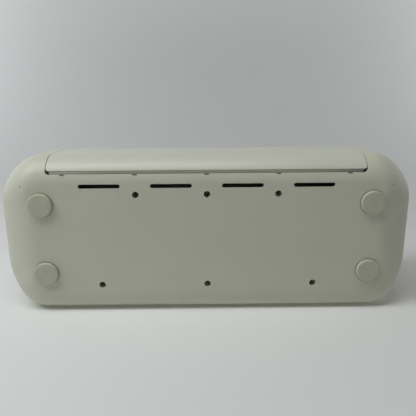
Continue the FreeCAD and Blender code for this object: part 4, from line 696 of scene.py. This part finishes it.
def screw(name, place, radius, head, length, material):
    """A pan-head screw whose head faces down: a turned shape whose dome rises with the cube of the radius.

    The points of the head that lie in a cross are sunk. Those of the shank are drawn in by a triangle wave
    that runs round and along it, which leaves the thread.
    """
    shank = radius * SHANK_SHARE
    dome_shares = np.linspace(0, DOME_REACH, DOME_RINGS)
    dome = [(radius * share, head * DOME_RISE * share ** 3) for share in dome_shares]
    thread_runs = np.arange(0, length - head - shank, THREAD_PITCH / THREAD_STEPS)
    thread = [(shank, head + run) for run in thread_runs]
    profile = dome + [(radius, head * RIM_LEVEL), (radius, head), (shank, head)] + thread + [(0, length)]
    points, faces = turned_shape(profile, SCREW_SIDES)
    across, along, up = np.abs(points[:, 0]), np.abs(points[:, 1]), points[:, 2]
    reach, width = radius * RECESS_LENGTH, radius * RECESS_WIDTH
    in_arm = (np.minimum(across, along) < width) & (np.maximum(across, along) < reach)
    in_cross = (up < head * RECESS_LEVEL) & in_arm
    points[in_cross, 2] += head * RECESS_DEPTH
    on_shank = (up > head) & (np.hypot(points[:, 0], points[:, 1]) > shank / 2)
    turns = up / THREAD_PITCH - np.arctan2(points[:, 1], points[:, 0]) / (2 * math.pi)
    depth = THREAD_DEPTH * np.abs(2 * (turns % 1) - 1)
    points[on_shank, :2] *= (1 - depth[on_shank] / shank)[:, None]
    return mesh_object(name, points + np.asarray(place, float), faces, (material,))


# Dark steel, made darker still by painted shade for the deep wells the heads sit in.
screw_steel_and_well_shade = metal("screw_steel_and_well_shade", (0.10, 0.10, 0.10), 0.36, blotch=0.002, tint=0.15)
for number, (low, high) in enumerate(separate_boxes("housing_screws"), 1):
    radius = (high[0] - low[0]) / 2
    middle = (low + high) / 2
    place = (middle[0], middle[1], low[2])
    length = high[2] - low[2]
    made = screw(f"housing_screw_{number}", place, radius, SCREW_HEAD_HEIGHT, length, screw_steel_and_well_shade)
    belongs(made, "case", "dark_steel", "housing_screws")

# ---------------------------------------------------------------------------------------------------------
# Liners, deck, guides, pocket flap and tool cup
#
# The grey mouldings inside: satin plastic, a little darker than the case, clipped and screwed in place.
# The mat slides on the deck between its two guides, and the flap closes the pocket in the door.
# ---------------------------------------------------------------------------------------------------------

liner_plastic = moulded("liner_plastic", (0.34, 0.355, 0.34), 0.48, grain=0.0008, depth=0.00002)
for node in ("lid_liner", "door_liner", "compartment_flap", "cutting_deck", "mat_guides"):
    eased(node, f"{node}_moulding", liner_plastic)
cup_plastic = moulded("cup_plastic", (0.30, 0.315, 0.30), 0.42, grain=0.0008)
eased("tool_cup", "tool_cup_moulding", cup_plastic, edge=0.0004)

# ---------------------------------------------------------------------------------------------------------
# Side frames and brackets
#
# Folded and punched sheet steel with a dull zinc coat. The two frames stand on the base and carry the
# roller, the rail and the pinch bar, and the brackets carry the belt's pulleys.
# ---------------------------------------------------------------------------------------------------------

frame_steel = metal("frame_steel", (0.46, 0.47, 0.48), 0.46, blotch=0.006, tint=0.14, depth=0.000006)
for node in ("side_frame_left", "side_frame_right", "belt_motor_bracket", "idler_bracket", "pinch_bar"):
    eased(node, f"{node}_plate", frame_steel, edge=0.0002)

# ---------------------------------------------------------------------------------------------------------
# Rail and pulleys
#
# The rail is one drawn length of aluminium, matt from its anodising and lined along its length. The
# pulleys and the blade's housing are turned from the same metal.
# ---------------------------------------------------------------------------------------------------------

ALUMINIUM_COLOUR = (0.60, 0.61, 0.62)

rail_aluminium = metal("rail_aluminium", ALUMINIUM_COLOUR, 0.34, stretch=(12, 2600, 2600), blotch=0.02,
                       tint=0.05)
turned_aluminium = metal("turned_aluminium", ALUMINIUM_COLOUR, 0.28, stretch=(400, 2600, 400), blotch=0.004,
                         tint=0.05)
eased("carriage_rail", "carriage_rail_length", rail_aluminium, edge=0.0003)
for node in ("belt_pulley", "idler_pulley", "blade_housing"):
    eased(node, f"{node}_turning", turned_aluminium, edge=0.00012)

# ---------------------------------------------------------------------------------------------------------
# Drive roller
#
# A ground steel shaft that runs in two brass bushes. Each of its two gripping bands is knurled in fine
# diamonds, which bite into the underside of the mat.
# ---------------------------------------------------------------------------------------------------------

KNURL_PITCH = 0.0011
KNURL_PROUD = 0.00012
KNURL_STEPS = 6
KNURL_VALLEY = 0.15
BAND_END_SHARE = 0.97
BAND_SHARE = 0.99

shaft_steel = metal("shaft_steel", (0.55, 0.55, 0.56), 0.24, stretch=(3000, 500, 500), blotch=0.01, tint=0.05)
knurled_steel = metal("knurled_steel", (0.44, 0.44, 0.45), 0.4, blotch=0.003, tint=0.12)


def knurled_band(name, left, right, radius, axis):
    """A sleeve about X, raised in small diamonds where two crossing sets of waves meet.

    The height of the knurl is the product of two cosines, one of the angle plus the run along the sleeve
    and one of the angle minus it. A flat face closes each end.
    """
    around = round(2 * math.pi * radius / KNURL_PITCH) * KNURL_STEPS
    along = round((right - left) / KNURL_PITCH) * KNURL_STEPS + 1
    angle = np.linspace(0, 2 * math.pi, around, endpoint=False)
    x = np.linspace(left, right, along)
    turn, run = np.meshgrid(angle, x)
    teeth = around // KNURL_STEPS
    first = turn * teeth / (2 * math.pi) + (run - left) / KNURL_PITCH
    second = turn * teeth / (2 * math.pi) - (run - left) / KNURL_PITCH
    crest = np.abs(np.cos(math.pi * first) * np.cos(math.pi * second))
    lift = radius + KNURL_PROUD * (KNURL_VALLEY + (1 - KNURL_VALLEY) * crest)
    lift[0] = radius * BAND_END_SHARE
    lift[-1] = radius * BAND_END_SHARE
    y = axis[1] + lift * np.cos(turn)
    z = axis[2] + lift * np.sin(turn)
    points = np.stack([run, y, z], axis=-1).reshape(-1, 3)
    row, column = np.meshgrid(np.arange(along - 1) * around, np.arange(around), indexing="ij")
    after = (column + 1) % around
    corners = (row + column, row + after, row + around + after, row + around + column)
    faces = np.stack(corners, axis=-1).reshape(-1, 4).tolist()
    ring = np.arange(around)
    ends = [ring[::-1].tolist(), (ring + (along - 1) * around).tolist()]
    return mesh_object(name, points, faces + ends, (knurled_steel,))


eased("drive_roller", "drive_roller_shaft", shaft_steel, edge=0.0003)
low, high, middle = middle_of("drive_roller")
shaft_points = points_of(nodes["drive_roller"].data)
from_axis = np.hypot(shaft_points[:, 1] - middle[1], shaft_points[:, 2] - middle[2])
band_places = shaft_points[from_axis > BAND_SHARE * from_axis.max(), 0]
for side, places in (("left", band_places[band_places < 0]), ("right", band_places[band_places > 0])):
    band = knurled_band(f"knurled_band_{side}", places.min(), places.max(), from_axis.max(), middle)
    belongs(band, "roller", "shaft_steel")

bush_brass = metal("bush_brass", (0.48, 0.30, 0.09), 0.4, blotch=0.003, tint=0.15)
for node in ("roller_bush_left", "roller_bush_right"):
    eased(node, f"{node}_turning", bush_brass, edge=0.0002)

# ---------------------------------------------------------------------------------------------------------
# Gears, pins and blade
#
# The large gear is moulded in black nylon and pressed on the roller's end, and its pinion is steel. Plain
# steel pins carry the lid, the door, the pinch rollers and the clamp levers, and screws of the same steel
# hold the main board on its posts.
# ---------------------------------------------------------------------------------------------------------

dark_nylon = moulded("dark_nylon", (0.022, 0.022, 0.023), 0.45, grain=0.001, tint=0.2)
eased("roller_gear", "roller_gear_moulding", dark_nylon, edge=0.00012)
for node in ("motor_pinion", "blade"):
    eased(node, f"{node}_turning", shaft_steel, edge=0.0001)
pin_steel = metal("pin_steel", (0.36, 0.36, 0.37), 0.3, blotch=0.004, tint=0.1)
for node in ("pinch_pins", "lid_hinge_pins", "door_hinge_pins", "lever_pin_a", "lever_pin_b", "board_screws"):
    eased(node, f"{node}_turning", pin_steel, edge=0.00015)

# ---------------------------------------------------------------------------------------------------------
# Pinch rollers
#
# Two rollers of firm black rubber on steel pins press the mat onto the roller's knurled bands. Their edges
# are rounded, and their tread is slightly dusty.
# ---------------------------------------------------------------------------------------------------------

tread_rubber = moulded("tread_rubber", (0.030, 0.029, 0.028), 0.7, grain=0.0007, depth=0.00005, cloud=0.003,
                       tint=0.35)
for node in ("pinch_roller_left", "pinch_roller_right"):
    eased(node, f"{node}_tyre", tread_rubber, edge=0.0008)

# ---------------------------------------------------------------------------------------------------------
# Motors
#
# Three small motors in pressed steel cans. Two are fixed to the right frame and to the belt's bracket, and
# the smallest sits under the carriage's cover.
# ---------------------------------------------------------------------------------------------------------

motor_steel = metal("motor_steel", (0.30, 0.30, 0.31), 0.42, blotch=0.008, tint=0.1)
for node in ("roller_motor", "belt_motor", "tool_lift_motor"):
    eased(node, f"{node}_can", motor_steel, edge=0.0006)

# ---------------------------------------------------------------------------------------------------------
# Drive belt
#
# A toothed belt of black rubber runs round the two pulleys with its teeth inward. The carriage's clip
# grips its front run.
# ---------------------------------------------------------------------------------------------------------

TOOTH_PITCH = 0.00283
TOOTH_STEPS = 8
TOOTH_SHARE = 0.45
TOOTH_STEEPNESS = 2.2
BELT_THICKNESS = 0.0012


def belt_loop(name, node, material):
    """A flat belt round two wheels: evenly spaced points along two straights and two half circles.

    Each point has four corners round it, two on the outer face and two on the inner. The inner ones go up
    and down with the teeth, as a sine that is made steeper and cut off.
    """
    low, high, middle = middle_of(node)
    outer = (high[2] - low[2]) / 2
    inner = outer - BELT_THICKNESS
    reach = (high[0] - low[0]) / 2 - outer
    run = 2 * reach
    bend = math.pi * inner
    length = 2 * (run + bend)
    steps = round(length / TOOTH_PITCH) * TOOTH_STEPS
    at = np.arange(steps) * length / steps
    on_top, on_right = at < run, (at >= run) & (at < run + bend)
    on_bottom, on_left = (at >= run + bend) & (at < 2 * run + bend), at >= 2 * run + bend
    turn = np.select([on_top, on_right, on_bottom, on_left],
                     [0 * at, (at - run) / inner, 0 * at + math.pi, math.pi + (at - 2 * run - bend) / inner])
    x = np.select([on_top, on_right, on_bottom, on_left],
                  [at - reach, 0 * at + reach, reach - (at - run - bend), 0 * at - reach])
    outward = np.stack([np.sin(turn), 0 * turn, np.cos(turn)], axis=-1)
    wave = np.clip(TOOTH_STEEPNESS * np.sin(2 * math.pi * np.arange(steps) / TOOTH_STEPS), -1, 1) / 2 + 0.5
    tooth_root = inner + BELT_THICKNESS * TOOTH_SHARE
    inside = tooth_root - (tooth_root - inner) * wave
    centre = np.stack([x, 0 * x, 0 * x + middle[2]], axis=-1)
    outside = outer + 0 * inside
    corners = []
    for radius, y in ((outside, low[1]), (outside, high[1]), (inside, high[1]), (inside, low[1])):
        corners.append(centre + outward * radius[:, None] + np.array((0, y, 0)))
    points = np.stack(corners, axis=1).reshape(-1, 3)
    here = np.arange(steps)[:, None] * 4
    ahead = (np.arange(steps)[:, None] + 1) % steps * 4
    corner = np.arange(4)[None, :]
    after = (corner + 1) % 4
    faces = np.stack([here + corner, ahead + corner, ahead + after, here + after], axis=-1)
    return mesh_object(name, points, faces.reshape(-1, 4).tolist(), (material,))


belt_rubber = moulded("belt_rubber", (0.016, 0.016, 0.016), 0.6, grain=0.0006, depth=0.00003, tint=0.2)
toothed_belt = belt_loop("toothed_belt", "drive_belt", belt_rubber)
toothed_belt.data.shade_flat()
belongs(toothed_belt, body_of["drive_belt"], slot_of["drive_belt"], "drive_belt")

# ---------------------------------------------------------------------------------------------------------
# Carriage
#
# A black nylon chassis slides on the rail, and a white cover is clipped on top. Its two tool holders are
# black too, and each is shut by a white lever that hangs on a pin. The levers are numbered.
# ---------------------------------------------------------------------------------------------------------

NUMERAL_HEIGHT = 0.0052
NUMERAL_LEVEL = 0.0150
NUMERAL_LINE = 0.00038
MARK_PROUD = 0.00003
MARK_THICKNESS = 0.00006
LOOK_FROM = 0.01

for node in ("carriage_chassis", "carriage_glides", "belt_clip", "tool_holder_a", "tool_holder_b"):
    eased(node, f"{node}_moulding", dark_nylon, edge=0.00025)
carriage_plastic = moulded("carriage_plastic", (0.66, 0.665, 0.64), 0.33, depth=0.00001)
eased("carriage_cover", "carriage_cover_moulding", carriage_plastic, edge=0.0004)
for node in ("clamp_lever_a", "clamp_lever_b", "accessory_adapter"):
    eased(node, f"{node}_moulding", carriage_plastic, edge=0.0004)


def printed_mark(name, strokes, middle, across, up, ground, material):
    """A flat printed mark on a surface.

    Each stroke is a line of points in the mark's own plane, with half its width at each point. Both its
    sides are laid on the ground by looking straight down at it.
    """
    across, up = Vector(across), Vector(up)
    outward = across.cross(up)
    points, faces = [], []
    for line, half_width in strokes:
        line = np.asarray(line, float)
        half_width = np.broadcast_to(half_width, len(line))
        heading = np.gradient(line, axis=0)
        heading /= np.linalg.norm(heading, axis=1)[:, None]
        beside = np.stack([-heading[:, 1], heading[:, 0]], axis=-1) * half_width[:, None]
        first = len(points)
        for spot in np.stack([line - beside, line + beside], axis=1).reshape(-1, 2):
            above = Vector(middle) + across * spot[0] + up * spot[1] + outward * LOOK_FROM
            met, *_rest = ground.ray_cast(above, -outward)
            points.append(met + outward * (MARK_PROUD + MARK_THICKNESS))
        faces += [(first + 2 * step, first + 2 * step + 2, first + 2 * step + 3, first + 2 * step + 1)
                  for step in range(len(line) - 1)]
    made = mesh_object(name, points, faces, (material,))
    made.modifiers.new("print", "SOLIDIFY").thickness = MARK_THICKNESS
    return made


def arc(radius, first, last, steps, middle=(0, 0)):
    """Points along a circle between two angles in degrees, which run from the right and turn to the left."""
    turn = np.radians(np.linspace(first, last, steps))
    return np.stack([middle[0] + radius * np.cos(turn), middle[1] + radius * np.sin(turn)], axis=-1)


def straight(start, end, steps=9):
    """Points along a straight line, in equal steps."""
    return np.linspace(start, end, steps)


print_grey = moulded("print_grey", (0.10, 0.105, 0.11), 0.5)
half = NUMERAL_HEIGHT / 2
numeral_one = [(straight((0, -half), (0, half)), NUMERAL_LINE),
               (straight((0, half), (-half * 0.5, half * 0.6)), NUMERAL_LINE)]
hook = arc(half * 0.5, 165, -35, 20, (0, half * 0.5))
numeral_two = [(hook, NUMERAL_LINE), (straight(hook[-1], (-half * 0.55, -half)), NUMERAL_LINE),
               (straight((-half * 0.55, -half), (half * 0.55, -half)), NUMERAL_LINE)]
for node, strokes in (("clamp_lever_a", numeral_one), ("clamp_lever_b", numeral_two)):
    low, high, middle = middle_of(node)
    place = (middle[0], low[1], low[2] + NUMERAL_LEVEL)
    lever_face = surface_of(nodes[node])
    numeral = printed_mark(f"{node}_numeral", strokes, place, (1, 0, 0), (0, 0, 1), lever_face, print_grey)
    belongs(numeral, body_of[node], "dark_plastic")

# ---------------------------------------------------------------------------------------------------------
# Main board, button board and sockets
#
# Green boards with copper lines under the lacquer. Black chips, pale plugs and bright capacitors stand on
# the main board, and are told apart by their height. The two sockets look out through the rear wall.
# ---------------------------------------------------------------------------------------------------------

BOARD_THICKNESS = 0.0016
ABOVE_BOARD = 1e-5
CHIP_TOP = 0.0022
PLUG_TOP = 0.0070
COPPER_PATCH = 0.009
COPPER_PITCH = 0.0012
COPPER_LINE_LEVEL = 0.25
LINES_ALONG_X = 0.4
LINES_ALONG_Y = 0.6


def build_copper():
    """Copper lines under lacquer: square patches, each with its lines one way or the other, or with none."""
    group = bpy.data.node_groups.new("copper_lines", "ShaderNodeTree")
    group_socket(group, "Patch Size", "INPUT", COPPER_PATCH)
    group_socket(group, "Line Pitch", "INPUT", COPPER_PITCH)
    group_socket(group, "Copper", "OUTPUT")
    enter = group.nodes.new("NodeGroupInput")
    leave = group.nodes.new("NodeGroupOutput")
    place = group.nodes.new("ShaderNodeTexCoord")
    split = group.nodes.new("ShaderNodeSeparateXYZ")
    group.links.new(place.outputs["Object"], split.inputs[0])

    def worked(operation, *values):
        """The result of one sum on values or on other results."""
        node = group.nodes.new("ShaderNodeMath")
        node.operation = operation
        for socket, value in zip(node.inputs, values):
            if hasattr(value, "is_output"):
                group.links.new(value, socket)
            else:
                socket.default_value = value
        return node.outputs[0]

    patch = group.nodes.new("ShaderNodeTexVoronoi")
    patch.distance = "CHEBYCHEV"
    group.links.new(place.outputs["Object"], patch.inputs["Vector"])
    group.links.new(worked("DIVIDE", 1.0, enter.outputs["Patch Size"]), patch.inputs["Scale"])
    chance = group.nodes.new("ShaderNodeSeparateColor")
    group.links.new(patch.outputs["Color"], chance.inputs[0])
    rate = worked("DIVIDE", 2 * math.pi, enter.outputs["Line Pitch"])
    wave_x = worked("SINE", worked("MULTIPLY", split.outputs["Y"], rate))
    along_x = worked("GREATER_THAN", wave_x, COPPER_LINE_LEVEL)
    wave_y = worked("SINE", worked("MULTIPLY", split.outputs["X"], rate))
    along_y = worked("GREATER_THAN", wave_y, COPPER_LINE_LEVEL)
    is_x = worked("LESS_THAN", chance.outputs[0], LINES_ALONG_X)
    is_y = worked("GREATER_THAN", chance.outputs[0], LINES_ALONG_Y)
    lines = worked("ADD", worked("MULTIPLY", along_x, is_x), worked("MULTIPLY", along_y, is_y))
    group.links.new(lines, leave.inputs["Copper"])
    return group


def circuit(name, green, copper):
    """A lacquered circuit board: green, and lighter over the copper."""
    material = moulded(name, green, 0.3, grain=0.002, depth=0.000005)
    tree = material.node_tree
    shader = tree.nodes["Principled BSDF"]
    pattern = tree.nodes.new("ShaderNodeGroup")
    pattern.node_tree = build_copper()
    pattern.inputs["Patch Size"].default_value = COPPER_PATCH
    pattern.inputs["Line Pitch"].default_value = COPPER_PITCH
    shade = tree.nodes.new("ShaderNodeMix")
    shade.data_type = "RGBA"
    shade.inputs["A"].default_value = (*green, 1)
    shade.inputs["B"].default_value = (*copper, 1)
    tree.links.new(pattern.outputs["Copper"], shade.inputs["Factor"])
    tree.links.new(shade.outputs["Result"], shader.inputs["Base Color"])
    return material


board_green = circuit("board_green", (0.008, 0.070, 0.030), (0.030, 0.160, 0.070))
plug_nylon = moulded("plug_nylon", (0.62, 0.60, 0.52), 0.5)
capacitor_metal = metal("capacitor_metal", (0.55, 0.56, 0.58), 0.3, blotch=0.002)
board = eased("main_board", "main_board_assembly", board_green, edge=0.0001)
for material in (dark_nylon, plug_nylon, capacitor_metal):
    board.data.materials.append(material)
board_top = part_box("main_board")[0][2] + BOARD_THICKNESS


def colour_by_height(mesh, ground):
    """Gives each part that stands on the board the finish for its height: chip, plug or capacitor."""
    standing = bmesh.new()
    standing.from_mesh(mesh)
    left = {face for face in standing.faces if face.calc_center_median().z > ground + ABOVE_BOARD}
    while left:
        reached = [left.pop()]
        for face in reached:
            near = {other for edge in face.edges for other in edge.link_faces} & left
            left -= near
            reached.extend(near)
        height = max(vertex.co.z for face in reached for vertex in face.verts) - ground
        kind = 1 if height < CHIP_TOP else 2 if height < PLUG_TOP else 3
        for face in reached:
            face.material_index = kind
    standing.to_mesh(mesh)
    standing.free()


colour_by_height(board.data, board_top)
eased("button_board", "button_board_plate", board_green, edge=0.0001)
for node in ("power_jack", "usb_socket"):
    eased(node, f"{node}_housing", dark_nylon, edge=0.00015)

# ---------------------------------------------------------------------------------------------------------
# Control panel and buttons
#
# A glossier white plate is set flush into the right end of the case. Its four round buttons are dished for
# a fingertip and carry plain printed signs: power, load, go and pause.
# ---------------------------------------------------------------------------------------------------------

BUTTON_EDGE = 0.0006
BUTTON_EDGE_STEPS = 6
BUTTON_DISH = 0.0007
DISH_OUTER = 0.9
DISH_INNER = 0.1
DISH_RINGS = 9
BUTTON_STEM = 0.0025
BUTTON_SIDES = 96
COLLAR_UNDERSIDE = 0.0040
COLLAR_TOP = 0.0057
CAP_RADIUS = 0.0070
SIGN_LINE = 0.00032
SIGN_RADIUS = 0.0026

panel_plastic = moulded("panel_plastic", (0.68, 0.685, 0.66), 0.22, depth=0.000004)
eased("control_panel", "control_panel_plate", panel_plastic, edge=0.0003)
button_plastic = moulded("button_plastic", (0.60, 0.605, 0.58), 0.34, depth=0.00001)

reach = SIGN_RADIUS
signs = {
    "power": [(arc(reach, 125, 415, 40), SIGN_LINE),
              (straight((0, reach * 0.15), (0, reach * 1.15)), SIGN_LINE)],
    "load": [(straight((-reach * 0.45, -reach), (-reach * 0.45, reach * 0.9)), SIGN_LINE),
             (straight((-reach * 0.9, reach * 0.4), (-reach * 0.45, reach)), SIGN_LINE),
             (straight((0, reach * 0.4), (-reach * 0.45, reach)), SIGN_LINE),
             (straight((reach * 0.45, -reach * 0.9), (reach * 0.45, reach)), SIGN_LINE),
             (straight((reach * 0.9, -reach * 0.4), (reach * 0.45, -reach)), SIGN_LINE),
             (straight((0, -reach * 0.4), (reach * 0.45, -reach)), SIGN_LINE)],
    "go": [(straight((-reach * 0.7, 0), (reach, 0), 15), np.linspace(reach, 0.00002, 15))],
    "pause": [(straight((-reach * 0.45, -reach * 0.9), (-reach * 0.45, reach * 0.9)), SIGN_LINE * 1.8),
              (straight((reach * 0.45, -reach * 0.9), (reach * 0.45, reach * 0.9)), SIGN_LINE * 1.8)],
}
for sign, strokes in signs.items():
    node = f"{sign}_button"
    low, high, middle = middle_of(node)
    collar = (high[0] - low[0]) / 2
    collar_low = low[2] + COLLAR_UNDERSIDE
    collar_high = low[2] + COLLAR_TOP
    share = np.linspace(DISH_OUTER, DISH_INNER, DISH_RINGS)
    dish = np.stack([CAP_RADIUS * share, high[2] - BUTTON_DISH * (1 - share ** 2)], axis=-1)
    turn = np.linspace(0, math.pi / 2, BUTTON_EDGE_STEPS)
    rim_radius = CAP_RADIUS - BUTTON_EDGE * (1 - np.cos(turn))
    rim_height = high[2] - BUTTON_EDGE * (1 - np.sin(turn))
    rim = np.stack([rim_radius, rim_height], axis=-1)
    profile = [(0, low[2]), (BUTTON_STEM, low[2]), (BUTTON_STEM, collar_low), (collar, collar_low),
               (collar, collar_high), (CAP_RADIUS, collar_high), *rim.tolist(), *dish.tolist(),
               (0, high[2] - BUTTON_DISH)]
    cap = turned(f"{sign}_button_cap", profile, (middle[0], middle[1], 0), (button_plastic,), BUTTON_SIDES)
    belongs(cap, body_of[node], slot_of[node], node)
    place = (middle[0], middle[1], high[2])
    cap_face = surface_of(cap)
    printed_sign = printed_mark(f"{sign}_sign", strokes, place, (1, 0, 0), (0, 1, 0), cap_face, print_grey)
    belongs(printed_sign, body_of[node], slot_of[node])
